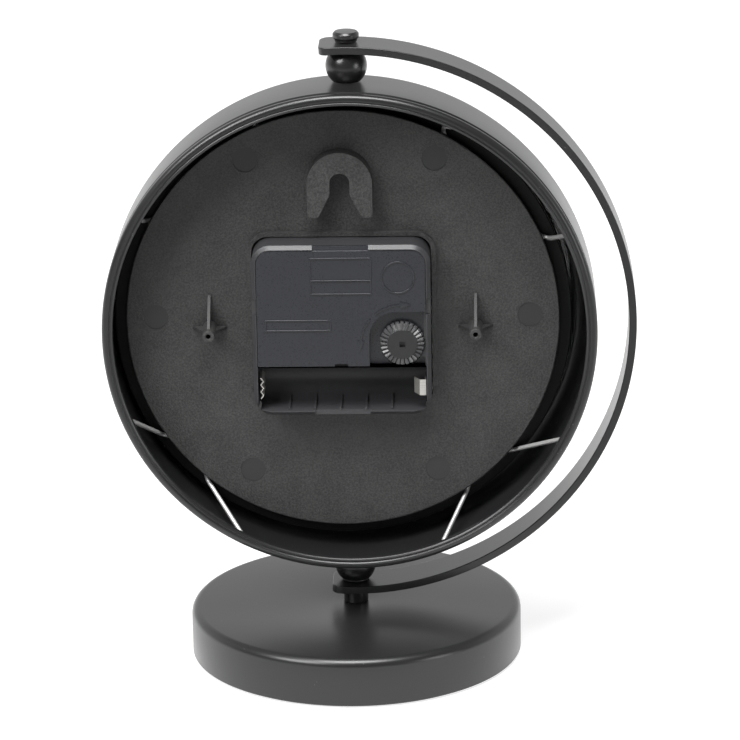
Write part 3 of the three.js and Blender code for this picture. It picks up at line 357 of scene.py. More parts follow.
# %% [markdown]
# The steel parts are stove enamelled in a satin black that is never quite black. A few specks of dust
# lie on it, as on any clock that was just unpacked, so the paint's colour passes through one more Mix
# node. The balls are a little glossier. The dial's white and its ink are paints too.

# %% Paints
black_paint = finish("black_paint", paint_peel, grey(0.010, 0.0005), grey(0.015, 0.0005), (0.26, 0.34),
                     (0.2, 0.03))
speck_colour = (0.16, 0.16, 0.155, 1)
paint_tree = black_paint.node_tree
dusty = plug(paint_tree, "ShaderNodeMix", {
    "Factor": paint_tree.nodes["Group"].outputs["Specks"], 6: paint_tree.nodes["Mix"].outputs[2],
    7: speck_colour}, data_type="RGBA")
paint_tree.links.new(dusty.outputs[2], paint_tree.nodes["Principled BSDF"].inputs["Base Color"])

ball_paint = finish("ball_paint", paint_peel, grey(0.010, 0.0005), grey(0.015, 0.0005), (0.22, 0.28),
                    (0.15, 0.02))
hand_paint = finish("hand_paint", paint_peel, grey(0.018), grey(0.026), (0.3, 0.4), (0.15, 0.02))
dial_paint = finish("dial_paint", paint_peel, (0.78, 0.755, 0.69), (0.82, 0.795, 0.73), (0.5, 0.6),
                    (0.1, 0.02))
dial_ink = finish("dial_ink", paint_peel, grey(0.016, 0.001), grey(0.024, 0.001), (0.42, 0.52), (0.2, 0.02))
print("paints", len(bpy.data.materials))

# %% [markdown]
# The pan has the coarse grain of a spark-eroded mould, and the marks of the ejector pins on it are
# smoother. Its sides and what lies deep in it were never grained, and their finish is also painted
# darker, a painted shade for the deep parts. The movement's case, cover and knob come from finer moulds, and the
# cover, with its cool tint, from the finest.

# %% Moulded finishes
pan_plastic = finish("pan_plastic", mould_grain, grey(0.008), grey(0.052, -0.001), (0.48, 0.66), (1.0, 0.16),
                     (1800.0, 90.0))
pin_mark = finish("pin_mark", mould_grain, grey(0.015, 0.001), grey(0.022, 0.001), (0.45, 0.55), (0.15, 0.02),
                  (2600.0,))
# Painted shade: the pan's deep faces get this darker colour
smooth_plastic = finish("smooth_plastic", mould_grain, grey(0.004), grey(0.008), (0.4, 0.5), (0.15, 0.02),
                        (2600.0,), **{"Specular IOR Level": 0.15})
case_plastic = finish("case_plastic", mould_grain, grey(0.026, 0.002), grey(0.040, 0.003), (0.38, 0.46),
                      (0.15, 0.02), (2400.0,))
# Painted highlight: the knob's ridges are a lighter grey than the knob itself
ridge_plastic = finish("ridge_plastic", mould_grain, grey(0.040, 0.002), grey(0.060, 0.003), (0.2, 0.28),
                       (0.1, 0.02), (2400.0,))
knob_plastic = finish("knob_plastic", mould_grain, grey(0.010, 0.001), grey(0.016, 0.001), (0.36, 0.44),
                      (0.15, 0.02), (2400.0,))
cover_plastic = finish("cover_plastic", mould_grain, (0.012, 0.013, 0.016), (0.019, 0.020, 0.025),
                       (0.26, 0.34), (0.12, 0.02), (2200.0, 45.0))
ring_plastic = finish("ring_plastic", mould_grain, grey(0.024), grey(0.034), (0.55, 0.65), (0.2, 0.03))
pad_rubber = finish("pad_rubber", mould_grain, grey(0.014), grey(0.028), (0.75, 0.9), (0.4, 0.05), (900.0,))
board_resin = finish("board_resin", mould_grain, (0.09, 0.15, 0.06), (0.14, 0.23, 0.1), (0.4, 0.5),
                     (0.1, 0.02))
gear_plastic = finish("gear_plastic", mould_grain, (0.66, 0.66, 0.62), (0.74, 0.74, 0.7), (0.4, 0.5),
                      (0.1, 0.02))
print("with moulded finishes", len(bpy.data.materials))

# %% [markdown]
# The clips are drawn wire and the contacts are plated strip, both duller than polished metal. The other
# metals belong to the works. The coil uses the same streaks, turned so that they run round it
# like windings.

# %% Metals
spring_wire = finish("spring_wire", drawn_lines, (0.42, 0.42, 0.415), (0.66, 0.66, 0.65), (0.4, 0.54),
                     (0.2, 0.02), Metallic=0.7)
contact_strip = finish("contact_strip", drawn_lines, (0.40, 0.39, 0.36), (0.66, 0.65, 0.61), (0.3, 0.44),
                       (0.15, 0.02), Metallic=0.8)
plated_steel = finish("plated_steel", drawn_lines, (0.4, 0.4, 0.39), (0.58, 0.58, 0.57), (0.3, 0.42),
                      (0.2, 0.02), Metallic=1.0)
turned_brass = finish("turned_brass", drawn_lines, (0.5, 0.36, 0.14), (0.68, 0.52, 0.24), (0.24, 0.36),
                      (0.2, 0.02), Metallic=1.0)
coil_copper = finish("coil_copper", drawn_lines, (0.3, 0.1, 0.04), (0.62, 0.27, 0.12), (0.3, 0.42),
                     (0.8, 0.12), (40.0, 9000.0), Metallic=1.0)
weight_iron = finish("weight_iron", mould_grain, grey(0.03), (0.08, 0.078, 0.075), (0.6, 0.8), (0.9, 0.2),
                     (500.0,), Metallic=0.6)
print("with metals", len(bpy.data.materials))

# %% [markdown]
# The front glass is plain window glass. The shader that a new material brings is enough for it, because
# clean glass has no grain and no tone.

# %% Lens glass
lens_glass = bpy.data.materials.new("lens_glass")
lens_glass.use_nodes = True
lens_inputs = lens_glass.node_tree.nodes["Principled BSDF"].inputs
lens_inputs["Base Color"].default_value = (0.97, 0.99, 0.98, 1)
lens_inputs["Transmission Weight"].default_value = 1.0
lens_inputs["IOR"].default_value = 1.5
lens_inputs["Roughness"].default_value = 0.02
print("lens roughness", lens_inputs["Roughness"].default_value)

# %% [markdown]
# Most pieces of this clock are turned or pressed round, or cut from a flat outline. So two helpers make
# nearly all of them. Both start from corners that each carry a fillet radius, because no real corner
# is sharp, and the highlights on the rounded edges are what the eye reads as a made thing.

# %% Outlines
fillet_steps = 5
arc_steps = 32
# Fillets that come back in many outlines
fine_edge = 0.1
small_edge = 0.2
soft_edge = 0.3


def filleted(corners, closed=True):
    """Points of an outline from (x, y, radius) corners. Each corner with a radius becomes an arc."""
    points = []
    count = len(corners)
    for at, (x, y, radius) in enumerate(corners):
        corner = Vector((x, y))
        if not radius or (not closed and at in (0, count - 1)):
            points.append(corner)
            continue
        before = Vector(corners[at - 1][:2]) - corner
        after = Vector(corners[(at + 1) % count][:2]) - corner
        half_angle = before.angle(after) / 2
        reach = min(radius / math.tan(half_angle), before.length, after.length)
        inward = (before.normalized() + after.normalized()).normalized()
        middle = corner + inward * reach * math.tan(half_angle) / math.sin(half_angle)
        first = corner + before.normalized() * reach - middle
        last = corner + after.normalized() * reach - middle
        sweep = first.angle_signed(last)
        for step in range(fillet_steps + 1):
            points.append(middle + Matrix.Rotation(-sweep * step / fillet_steps, 2) @ first)
    return points


def arc(middle, radius, first, last, steps=arc_steps):
    """Points along an arc from a first angle to a last one."""
    turns = [first + (last - first) * step / steps for step in range(steps + 1)]
    return [Vector(middle) + Vector((math.cos(turn), math.sin(turn))) * radius for turn in turns]


def unfilleted(points):
    """Points as corners without a fillet."""
    return [(x, y, 0) for x, y in points]


def rectangle(x_low, x_high, z_low, z_high, radius=0.0):
    """Points of a rectangle with rounded corners."""
    return filleted([(x_low, z_low, radius), (x_high, z_low, radius),
                     (x_high, z_high, radius), (x_low, z_high, radius)])


def hoop(inner, outer, low, high, inner_edge=0.0, outer_edge=0.0):
    """Corners of a ring's section. With an inner radius of zero it is a disc's."""
    return [(inner, low, inner_edge), (outer, low, outer_edge),
            (outer, high, outer_edge), (inner, high, inner_edge)]


print("corner steps", fillet_steps, "arc steps", arc_steps)

# %% [markdown]
# Whatever way a mesh is made, it ends the same way. Vertices in one place are merged, the faces are
# turned outward, and the shading is smooth except over sharp edges. A curve, a text or a modifier is
# first turned into a plain mesh, since only plain meshes can be exported.

# %% From a mesh to a piece
merge_distance = 1e-7
smooth_angle = math.radians(32)
edge_angle = math.radians(35)


def shade(mesh, angle):
    """Smooth shading, except over edges sharper than the angle."""
    mesh.polygons.foreach_set("use_smooth", [True] * len(mesh.polygons))
    mesh.set_sharp_from_angle(angle=angle)


def plain_mesh(piece):
    """A plain mesh of what an object's curve, text or modifiers give."""
    bpy.context.view_layer.update()
    return bpy.data.meshes.new_from_object(piece.evaluated_get(bpy.context.evaluated_depsgraph_get()))


def finished(build, name, material, mesh=None, merge=merge_distance):
    """The piece that a built mesh becomes."""
    bmesh.ops.remove_doubles(build, verts=build.verts, dist=merge)
    bmesh.ops.recalc_face_normals(build, faces=build.faces)
    mesh = mesh or bpy.data.meshes.new(name)
    build.to_mesh(mesh)
    build.free()
    mesh.name = name
    mesh.materials.clear()
    mesh.materials.append(material)
    shade(mesh, smooth_angle)
    return add_object(name, mesh)


def dress(piece, body, slot_name, *nodes):
    """Makes a finished piece ride on its body, in place of the plain nodes that it stands for."""
    if nodes:
        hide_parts(*nodes)
    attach(piece, body)
    low, high = (Vector(corner) for corner in (piece.bound_box[0], piece.bound_box[6]))
    print(piece.name, "faces", len(piece.data.polygons), "size mm", [round(v / MM, 1) for v in high - low])
    return piece


print("sharp from", round(math.degrees(smooth_angle)), "degrees")

# %% [markdown]
# Turning is the first way. The outline is a half section, and its points are carried round the axis in
# small steps. Where the outline touches the axis, one point closes the surface, so an outline that
# starts on the axis is left open there.

# %% Turned pieces
turn_steps = 192
axis_radius = 1e-6


def turned(name, corners, centre, material, axis="Y", steps=turn_steps):
    """Turns an outline of (radius, along, fillet) corners, in millimetres, round Y or Z."""
    closed = corners[0][0] > 0
    build = bmesh.new()
    rings = []
    for radius, along in filleted(corners, closed):
        ring = []
        for step in range(steps if radius > axis_radius else 1):
            turn = 2 * math.pi * step / steps
            across, beside = radius * math.cos(turn), radius * math.sin(turn)
            place = (across, along, beside) if axis == "Y" else (across, beside, along)
            ring.append(build.verts.new(centre + Vector(place) * MM))
        rings.append(ring)
    pairs = list(zip(rings, rings[1:]))
    if closed:
        pairs.append((rings[-1], rings[0]))
    for low, high in pairs:
        for step in range(steps):
            after = (step + 1) % steps
            corner = [low[step % len(low)], low[after % len(low)],
                      high[after % len(high)], high[step % len(high)]]
            face = list(dict.fromkeys(corner))
            if len(face) > 2:
                build.faces.new(face)
    return finished(build, name, material)


print("turned pieces have", turn_steps, "steps")

# %% [markdown]
# A flat outline becomes a plate through a filled curve. The curve gives the plate its thickness and
# rounds its edges inward, so that the plate stays inside its outline. The curve is made a mesh while
# it still lies flat, and only then stood up in the clock.

# %% Plates from outlines
weld_distance = 1e-6
cutter_edge = 0.01


def plate(name, loops, front, rear, material, edge=cutter_edge, edge_steps=0, centre=shaft):
    """A plate in the XZ plane from one outline and its holes, in millimetres about the centre."""
    curve = bpy.data.curves.new(name, "CURVE")
    curve.dimensions = "2D"
    curve.fill_mode = "BOTH"
    curve.extrude = ((rear - front) / 2 - edge) * MM
    curve.bevel_depth = edge * MM
    curve.bevel_resolution = edge_steps
    curve.offset = -edge * MM
    for loop in loops:
        spline = curve.splines.new("POLY")
        spline.points.add(len(loop) - 1)
        spline.use_cyclic_u = True
        for point, (x, z) in zip(spline.points, loop):
            point.co = (x * MM, z * MM, 0, 1)
    flat = add_object(name, curve)
    mesh = plain_mesh(flat)
    bpy.data.objects.remove(flat)
    middle = Vector((centre.x, (front + rear) / 2 * MM, centre.z))
    mesh.transform(Matrix.Translation(middle) @ Matrix.Rotation(math.pi / 2, 4, "X"))
    build = bmesh.new()
    build.from_mesh(mesh)
    return finished(build, name, material, mesh, weld_distance)


print("weld distance", weld_distance)

# %% [markdown]
# A few small pieces are neither turned nor flat, such as the webs beside the pan's bosses and the ridges
# of the knob. They are drawn as rows of corners. The faces between the rows are built one by one, and
# one face, or a few, close each end.

# %% Solids between rows of corners


def lofted(name, rows, material, caps=None):
    """A solid between rows of equally many corners, in metres. caps names the corners of the end faces."""
    build = bmesh.new()
    loops = [[build.verts.new(corner) for corner in row] for row in rows]
    count = len(loops[0])
    for end in (loops[0], loops[-1]):
        for cap in caps or [range(count)]:
            build.faces.new([end[at] for at in cap])
    for near, far in zip(loops, loops[1:]):
        for at in range(count):
            after = (at + 1) % count
            build.faces.new((near[at], near[after], far[after], far[at]))
    return finished(build, name, material)


print("lofted solids can take any number of rows")

# %% [markdown]
# Some mouldings need solids joined and cut. A Boolean modifier does each step, and the result is kept as
# a plain mesh. The tool's own finish comes along with the faces that it cuts, which marks the smooth
# spots that ejector pins leave in a grained moulding. Weighted normals then keep the large faces flat
# where small rounded edges meet them.

# %% Joining and cutting
face_weight = 100


def baked(piece):
    """The piece with its modifiers worked into a plain mesh."""
    mesh = plain_mesh(piece)
    piece.modifiers.clear()
    piece.data = mesh
    mesh.name = piece.name
    return piece


def open_edges(piece):
    """How many edges of a piece don't have two faces. A sound solid has none."""
    build = bmesh.new()
    build.from_mesh(piece.data)
    count = sum(not edge.is_manifold for edge in build.edges)
    build.free()
    return count


def shaped(body, joins=(), cuts=(), edge=0.0, edge_steps=2):
    """Joins and cuts a solid with others, then rounds its sharp edges by a small width in millimetres."""
    for operation, tools in (("UNION", joins), ("DIFFERENCE", cuts)):
        for tool in tools:
            step = body.modifiers.new("step", "BOOLEAN")
            step.solver = "EXACT"
            step.operation = operation
            step.material_mode = "TRANSFER"
            step.object = tool
            baked(body)
            print(" ", operation.lower(), tool.name, "leaves", open_edges(body), "open edges")
            bpy.data.objects.remove(tool)
    if edge:
        rounding = body.modifiers.new("edges", "BEVEL")
        rounding.width = edge * MM
        rounding.segments = edge_steps
        rounding.limit_method = "ANGLE"
        rounding.angle_limit = edge_angle
        baked(body)
    shade(body.data, edge_angle)
    flat = body.modifiers.new("flat faces", "WEIGHTED_NORMAL")
    flat.keep_sharp = True
    flat.weight = face_weight
    return baked(body)


print("edges are rounded from", round(math.degrees(edge_angle)), "degrees")

# %% [markdown]
# Geometry Nodes make what repeats and what follows a rule. The first tree turns copies of one small
# piece round an axis along Y, for the knob's ridges, the dial's marks and the pin marks. Its sizes are
# named inputs, and a modifier sets them by each socket's identifier.

# %% Tree for a ring of copies


def start_tree(name, inputs):
    tree = bpy.data.node_groups.new(name, "GeometryNodeTree")
    tree.interface.new_socket("Geometry", in_out="INPUT", socket_type="NodeSocketGeometry")
    for label, kind in inputs.items():
        tree.interface.new_socket(label, in_out="INPUT", socket_type="NodeSocket" + kind)
    tree.interface.new_socket("Geometry", in_out="OUTPUT", socket_type="NodeSocketGeometry")
    return tree, tree.nodes.new("NodeGroupInput").outputs


def end_tree(tree, geometry, material):
    real = plug(tree, "GeometryNodeRealizeInstances", {"Geometry": geometry})
    dressed = plug(tree, "GeometryNodeSetMaterial", {"Geometry": real.outputs[0], "Material": material})
    plug(tree, "NodeGroupOutput", {"Geometry": dressed.outputs[0]})
    return tree


def build_ring_tree():
    tree, given = start_tree("ring of copies", {"Piece": "Object", "Copies": "Int", "Centre": "Vector",
                                                "Finish": "Material"})
    points = plug(tree, "GeometryNodeMeshLine", {"Count": given["Copies"], "Offset": (0, 0, 0)})
    piece = plug(tree, "GeometryNodeObjectInfo", {"Object": given["Piece"]})
    index = plug(tree, "GeometryNodeInputIndex").outputs[0]
    turn = maths(tree, "MULTIPLY", index, maths(tree, "DIVIDE", 2 * math.pi, given["Copies"]))
    spin = plug(tree, "ShaderNodeCombineXYZ", {"Y": turn})
    copies = plug(tree, "GeometryNodeInstanceOnPoints", {
        "Points": points.outputs[0], "Instance": piece.outputs["Geometry"], "Rotation": spin.outputs[0]})
    moved = plug(tree, "GeometryNodeTransform", {"Geometry": copies.outputs[0],
                                                 "Translation": given["Centre"]})
    return end_tree(tree, moved.outputs[0], given["Finish"])


def grown(name, tree, values, carrier=None):
    """Runs a tree on a carrier, an empty mesh unless one is given, and keeps the result as a plain mesh."""
    carrier = carrier or add_object(name, bpy.data.meshes.new(name))
    modifier = carrier.modifiers.new("grown", "NODES")
    modifier.node_group = tree
    for item in tree.interface.items_tree:
        if item.in_out == "INPUT" and item.name in values:
            modifier[item.identifier] = values[item.name]
    baked(carrier)
    shade(carrier.data, edge_angle)
    return carrier


def copied(name, tree, seed, copies, material, **values):
    """Copies of a seed piece through one of the trees. The seed itself is removed."""
    made = grown(name, tree, {"Piece": seed, "Copies": copies, "Finish": material, **values})
    bpy.data.objects.remove(seed)
    return made


ring_tree = build_ring_tree()
print(ring_tree.name, "has", len(ring_tree.nodes), "nodes")

# %% [markdown]
# The second tree sets copies in a straight row. A Mesh Line gives one point for each copy, so the
# number and the step stay free, as they do on a maker's drawing.

# %% Tree for a row of copies


def build_row_tree():
    tree, given = start_tree("row of copies", {"Piece": "Object", "Copies": "Int", "Step": "Vector",
                                               "Start": "Vector", "Finish": "Material"})
    points = plug(tree, "GeometryNodeMeshLine", {"Count": given["Copies"], "Start Location": given["Start"],
                                                 "Offset": given["Step"]})
    piece = plug(tree, "GeometryNodeObjectInfo", {"Object": given["Piece"]})
    copies = plug(tree, "GeometryNodeInstanceOnPoints", {"Points": points.outputs[0],
                                                         "Instance": piece.outputs["Geometry"]})
    return end_tree(tree, copies.outputs[0], given["Finish"])


row_tree = build_row_tree()
print(row_tree.name, "has", len(row_tree.nodes), "nodes")

# %% [markdown]
# The base is a steel pressing with a generous round on its top edge. It is hollow, stands on a thin
# rubber pad that is a little smaller, and hides a cast weight. A turned outline with a wall gives the
# pressing its real thickness at the lower rim.

# %% Base
base_low, base_high = box_mm("base_shell")
base_radius = base_high.x
base_sheet = 1.2
base_edge = 2.6
base_rim_edge = 0.35
screw_hole = 2.05
dress(turned("base_pressing", [
    (screw_hole, base_high.z, fine_edge), (base_radius, base_high.z, base_edge),
    (base_radius, base_low.z, base_rim_edge), (base_radius - base_sheet, base_low.z, base_rim_edge),
    (base_radius - base_sheet, base_high.z - base_sheet, base_edge - base_sheet),
    (screw_hole, base_high.z - base_sheet, fine_edge),
], origin, black_paint, "Z"), "stand", "black_paint", "base_shell")

pad_high = box_mm("base_pad")[1]
pad_edge = 0.5
dress(turned("base_pad_disc", [
    (0, 0, 0), (pad_high.x, 0, pad_edge), (pad_high.x, pad_high.z, small_edge), (0, pad_high.z, 0),
], origin, pad_rubber, "Z"), "stand", "pad_rubber", "base_pad")

# %% [markdown]
# A short bush lifts the arm off the base, and a thin washer lies between the arm and the lower ball. Both
# are bored for the long screw. The top screw's head looks like a small button with a narrower neck, so
# its outline steps in below the head.

# %% Spacer, washer and screw on the arm
for name, node in (("arm_spacer_bush", "arm_spacer"), ("lower_washer_disc", "lower_washer")):
    low, high = box_mm(node)
    section = hoop(screw_hole, high.x, low.z, high.z, fine_edge, soft_edge)
    dress(turned(name, section, origin, black_paint, "Z"), "stand", "black_paint", node)

screw_low, screw_high = box_mm("top_screw")
head_height = 3.1
head_neck = 3.5
neck_rise = 0.6
head_rise = 1.2
head_round = 0.7
head_flat = 3.5
head_edge = 0.4
shank_radius = 1.75
head_low = screw_high.z - head_height
dress(turned("arm_top_screw", [
    (0, screw_low.z, 0), (shank_radius, screw_low.z, soft_edge), (shank_radius, head_low, fine_edge),
    (head_neck, head_low, 0.15), (head_neck, head_low + neck_rise, soft_edge),
    (screw_high.x, head_low + head_rise, head_edge), (screw_high.x, screw_high.z - head_round, head_edge),
    (head_flat, screw_high.z, 0.25), (0, screw_high.z, 0),
], origin, black_paint, "Z"), "stand", "black_paint", "top_screw")

# %% [markdown]
# The arm is one long strip of flat steel, bent round the drum. Its shape is a rule, an arc with round
# corners at both ends, so a tree makes it. A flat grid is laid round the arc, its ends are drawn in near
# the corners, and the sheet is then thickened outward.

# %% Tree for the bent strip


def build_strip_tree():
    tree, given = start_tree("bent strip", {
        "Inner Radius": "Float", "Thickness": "Float", "Width": "Float", "Corner Radius": "Float",
        "Start Angle": "Float", "End Angle": "Float", "Centre Height": "Float", "Steps Along": "Int",
        "Steps Across": "Int", "Finish": "Material"})
    radius, corner = given["Inner Radius"], given["Corner Radius"]
    grid = plug(tree, "GeometryNodeMeshGrid", {"Size X": 1.0, "Size Y": 1.0,
                                               "Vertices X": given["Steps Along"],
                                               "Vertices Y": given["Steps Across"]})
    place = plug(tree, "ShaderNodeSeparateXYZ", {0: plug(tree, "GeometryNodeInputPosition").outputs[0]})
    depth = maths(tree, "MULTIPLY", place.outputs[1], given["Width"])
    straight = maths(tree, "SUBTRACT", maths(tree, "MULTIPLY", given["Width"], 0.5), corner)
    past_straight = maths(tree, "MAXIMUM", maths(tree, "SUBTRACT", maths(tree, "ABSOLUTE", depth), straight))
    taken = maths(tree, "POWER", past_straight, 2.0)
    square = maths(tree, "SUBTRACT", maths(tree, "POWER", corner, 2.0), taken)
    root = maths(tree, "SQRT", maths(tree, "MAXIMUM", square))
    drawn_in = maths(tree, "DIVIDE", maths(tree, "SUBTRACT", corner, root), radius)
    first = maths(tree, "ADD", given["Start Angle"], drawn_in)
    last = maths(tree, "SUBTRACT", given["End Angle"], drawn_in)
    share = maths(tree, "ADD", place.outputs[0], 0.5)
    angle = maths(tree, "ADD", first, maths(tree, "MULTIPLY", share, maths(tree, "SUBTRACT", last, first)))
    across = maths(tree, "MULTIPLY", maths(tree, "SINE", angle), radius)
    down = maths(tree, "MULTIPLY", maths(tree, "COSINE", angle), radius)
    spot = plug(tree, "ShaderNodeCombineXYZ", {"X": maths(tree, "MULTIPLY", across, -1.0), "Y": depth,
                                               "Z": maths(tree, "SUBTRACT", given["Centre Height"], down)})
    sheet = plug(tree, "GeometryNodeSetPosition", {"Geometry": grid.outputs["Mesh"],
                                                   "Position": spot.outputs[0]})
    turned_back = plug(tree, "GeometryNodeFlipFaces", {"Mesh": sheet.outputs[0]})
    raised = plug(tree, "GeometryNodeExtrudeMesh", {"Mesh": sheet.outputs[0],
                                                    "Offset Scale": given["Thickness"], "Individual": False})
    whole = plug(tree, "GeometryNodeJoinGeometry")
    tree.links.new(raised.outputs["Mesh"], whole.inputs[0])
    tree.links.new(turned_back.outputs[0], whole.inputs[0])
    merged = plug(tree, "GeometryNodeMergeByDistance", {"Geometry": whole.outputs[0],
                                                        "Distance": weld_distance})
    return end_tree(tree, merged.outputs[0], given["Finish"])


strip_tree = build_strip_tree()
print(strip_tree.name, "has", len(strip_tree.nodes), "nodes")

# %% [markdown]
# The arm's radius and width come from its node. Its two ends reach a little past the pivots' line, by
# different lengths, so each overhang is turned into an angle. A bevel then takes off the sharp
# edges, as tumbling does with a stamped strip.

# %% Arm
arm_low, arm_high = box_mm("arm_strip")
arm_thickness = 2.4
arm_corner = 3.0
arm_edge = 0.4
arm_outer = drum_axis.x / MM - arm_low.x
lower_overhang = 7.5
upper_overhang = arm_high.x
arm_steps_along = 260
arm_steps_across = 41
arm = grown("arm_flat_strip", strip_tree, {
    "Inner Radius": (arm_outer - arm_thickness) * MM, "Thickness": arm_thickness * MM,
    "Width": (arm_high.y - arm_low.y) * MM, "Corner Radius": arm_corner * MM,
    "Start Angle": -math.asin(lower_overhang / arm_outer),
    "End Angle": math.pi + math.asin(upper_overhang / arm_outer), "Centre Height": drum_axis.z,
    "Steps Along": arm_steps_along, "Steps Across": arm_steps_across, "Finish": black_paint})
dress(shaped(arm, edge=arm_edge, edge_steps=3), "stand", "black_paint", "arm_strip")
print("node size mm", [round(v, 1) for v in arm_high - arm_low])

# %% [markdown]
# Each pivot is a turned steel ball with a small flat at either end, bored for the screw that the drum
# swings on. A turned outline with many points keeps the ball smooth, and the flats sit on the drum
# and under the arm.

# %% Balls
ball_radius = 6.5
ball_steps = 28
ball_turn_steps = 96
bore_depth = 6.8


def add_ball(name, node, points_up):
    low, high = box_mm(node)
    middle = (low.z + high.z) / 2
    flat_angle = math.asin((high.z - low.z) / 2 / ball_radius)
    outline = unfilleted(arc((0, middle), ball_radius, -flat_angle, flat_angle, ball_steps))
    mouth, inner = (high.z, high.z - bore_depth) if points_up else (low.z, low.z + bore_depth)
    bore = [(screw_hole, mouth, 0), (screw_hole, inner, 0), (0, inner, 0)]
    if points_up:
        corners = [(0, low.z, 0), *outline, *bore]
    else:
        corners = [(0, high.z, 0), *reversed(outline), *bore]
    dress(turned(name, corners, origin, ball_paint, "Z", ball_turn_steps), "drum", "black_paint", node)


add_ball("upper_pivot_ball", "upper_ball", True)
add_ball("lower_pivot_ball", "lower_ball", False)

# %% [markdown]
# The drum is a deep pressing in thin steel. Its front edge is rounded and turned inward over the glass.
# Its rear edge is folded inward and rolled, with a fine crease in the outer wall and another on the roll,
# which give the dark line and the double highlight round the opening.

# %% Drum
drum_low, drum_high = box_mm("drum_shell")
drum_radius = drum_high.x
drum_sheet = 0.9
drum_round = 6.0
drum_mouth = 68.0
drum_steps = 256
mouth_edge = 0.4
# How far in from the wall, how far down from the rear edge, and the fillet
bead_profile = [
    (0, 4.7, 0.6), (0.6, 3.3, 0.3), (0.6, 2.7, 0.2), (0, 2.4, 0.3),
    (0, 0, 1.55), (2.0, 0, 0.35), (2.35, 0.5, 0.2), (2.75, 0.15, 0.25), (3.5, 0.6, 0.45),
    (3.5, 2.6, 0.35), (2.7, 2.6, 0.35), (2.7, 1.7, 0.2), (drum_sheet, 1.7, 0.5),
]

dress(turned("drum_pressing", [
    (drum_mouth, drum_low.y, mouth_edge), (drum_radius, drum_low.y, drum_round),
    *[(drum_radius - inward, drum_high.y - down, fillet) for inward, down, fillet in bead_profile],
    (drum_radius - drum_sheet, drum_low.y + drum_sheet, drum_round - drum_sheet),
    (drum_mouth, drum_low.y + drum_sheet, mouth_edge),
], drum_axis, black_paint, steps=drum_steps), "drum", "black_paint", "drum_shell")

# %% [markdown]
# Behind the mouth of the drum lie the glass, a black distance ring and the dial. The ring keeps the dial
# off the glass, so that the hands have room to turn. All three are turned.

# %% Glass, ring and dial
glass_low, glass_high = box_mm("glass_lens")
glass_edge = 0.4
glass_section = hoop(0, glass_high.x, glass_low.y, glass_high.y, 0, glass_edge)
dress(turned("front_glass", glass_section, drum_axis, lens_glass), "drum", "lens_glass", "glass_lens")

ring_low, ring_high = box_mm("dial_ring")
ring_radius = ring_high.x - shaft.x / MM
ring_wall = 2.6
ring_section = hoop(ring_radius - ring_wall, ring_radius, ring_low.y, ring_high.y, soft_edge, soft_edge)
dress(turned("dial_distance_ring", ring_section, shaft, ring_plastic), "drum", "ring_plastic", "dial_ring")

dial_low, dial_high = box_mm("dial_plate")
dial_hole = 4.0
dial_section = hoop(dial_hole, ring_radius, dial_low.y, dial_high.y, fine_edge, fine_edge)
dress(turned("dial_face", dial_section, shaft, dial_paint), "drum", "dial_paint", "dial_plate")

# %% [markdown]
# The dial carries plain numbers and a minute track, as simple table clocks have. The numbers are text made
# into thin meshes, like printed ink. Each is centred by its own outline, because a font's middle isn't
# the middle of its shapes.

# %% Numbers on the dial
ink_thickness = 0.04
ink_front = dial_low.y - ink_thickness
number_size = 13.5
number_radius = 50.0
dial_hours = 12


def number_mesh(hour):
    letters = bpy.data.curves.new("number", "FONT")
    letters.body = str(hour)
    letters.size = number_size * MM
    letters.align_x = "CENTER"
    letters.align_y = "CENTER"
    letters.extrude = ink_thickness / 2 * MM
    text = add_object("number", letters)
    mesh = plain_mesh(text)
    bpy.data.objects.remove(text)
    turn = 2 * math.pi * hour / dial_hours
    spots = [vertex.co.copy() for vertex in mesh.vertices]
    middle_x = (min(spot.x for spot in spots) + max(spot.x for spot in spots)) / 2
    middle_y = (min(spot.y for spot in spots) + max(spot.y for spot in spots)) / 2
    place = shaft + Vector((math.sin(turn), 0, math.cos(turn))) * number_radius * MM
    place.y = (ink_front + ink_thickness / 2) * MM
    centred = Matrix.Rotation(math.pi / 2, 4, "X") @ Matrix.Translation((-middle_x, -middle_y, 0))
    mesh.transform(Matrix.Translation(place) @ centred)
    return mesh


printed = bmesh.new()
for hour in range(1, dial_hours + 1):
    printed.from_mesh(number_mesh(hour))
dress(finished(printed, "dial_numbers", dial_ink), "drum", "dial_paint")

# %% [markdown]
# The sixty minute marks and the twelve longer hour marks are copies turned round the shaft by the ring
# tree. One mark is drawn at the top of the dial, as thin as the ink.

# %% Marks on the dial
track_radius = 63.5
dial_minutes = 60
# Each mark's width and length
minute_mark = (0.5, 2.4)
hour_mark = (1.3, 4.0)


def add_marks(name, size, copies):
    width, length = size
    seed = plate("mark", [rectangle(-width / 2, width / 2, track_radius - length, track_radius)],
                 ink_front, dial_low.y, dial_ink, centre=origin)
    dress(copied(name, ring_tree, seed, copies, dial_ink, Centre=shaft), "drum", "dial_paint")


add_marks("minute_marks", minute_mark, dial_minutes)
add_marks("hour_marks", hour_mark, dial_hours)

# %% [markdown]
# The pan is one moulding, a round plate with a groove and a flange at its edge, a window for the
# movement with a low frame, a hanging hook and two bosses with gussets. It is built as the mould is,
# from plain solids joined and cut. The turned plate comes first.

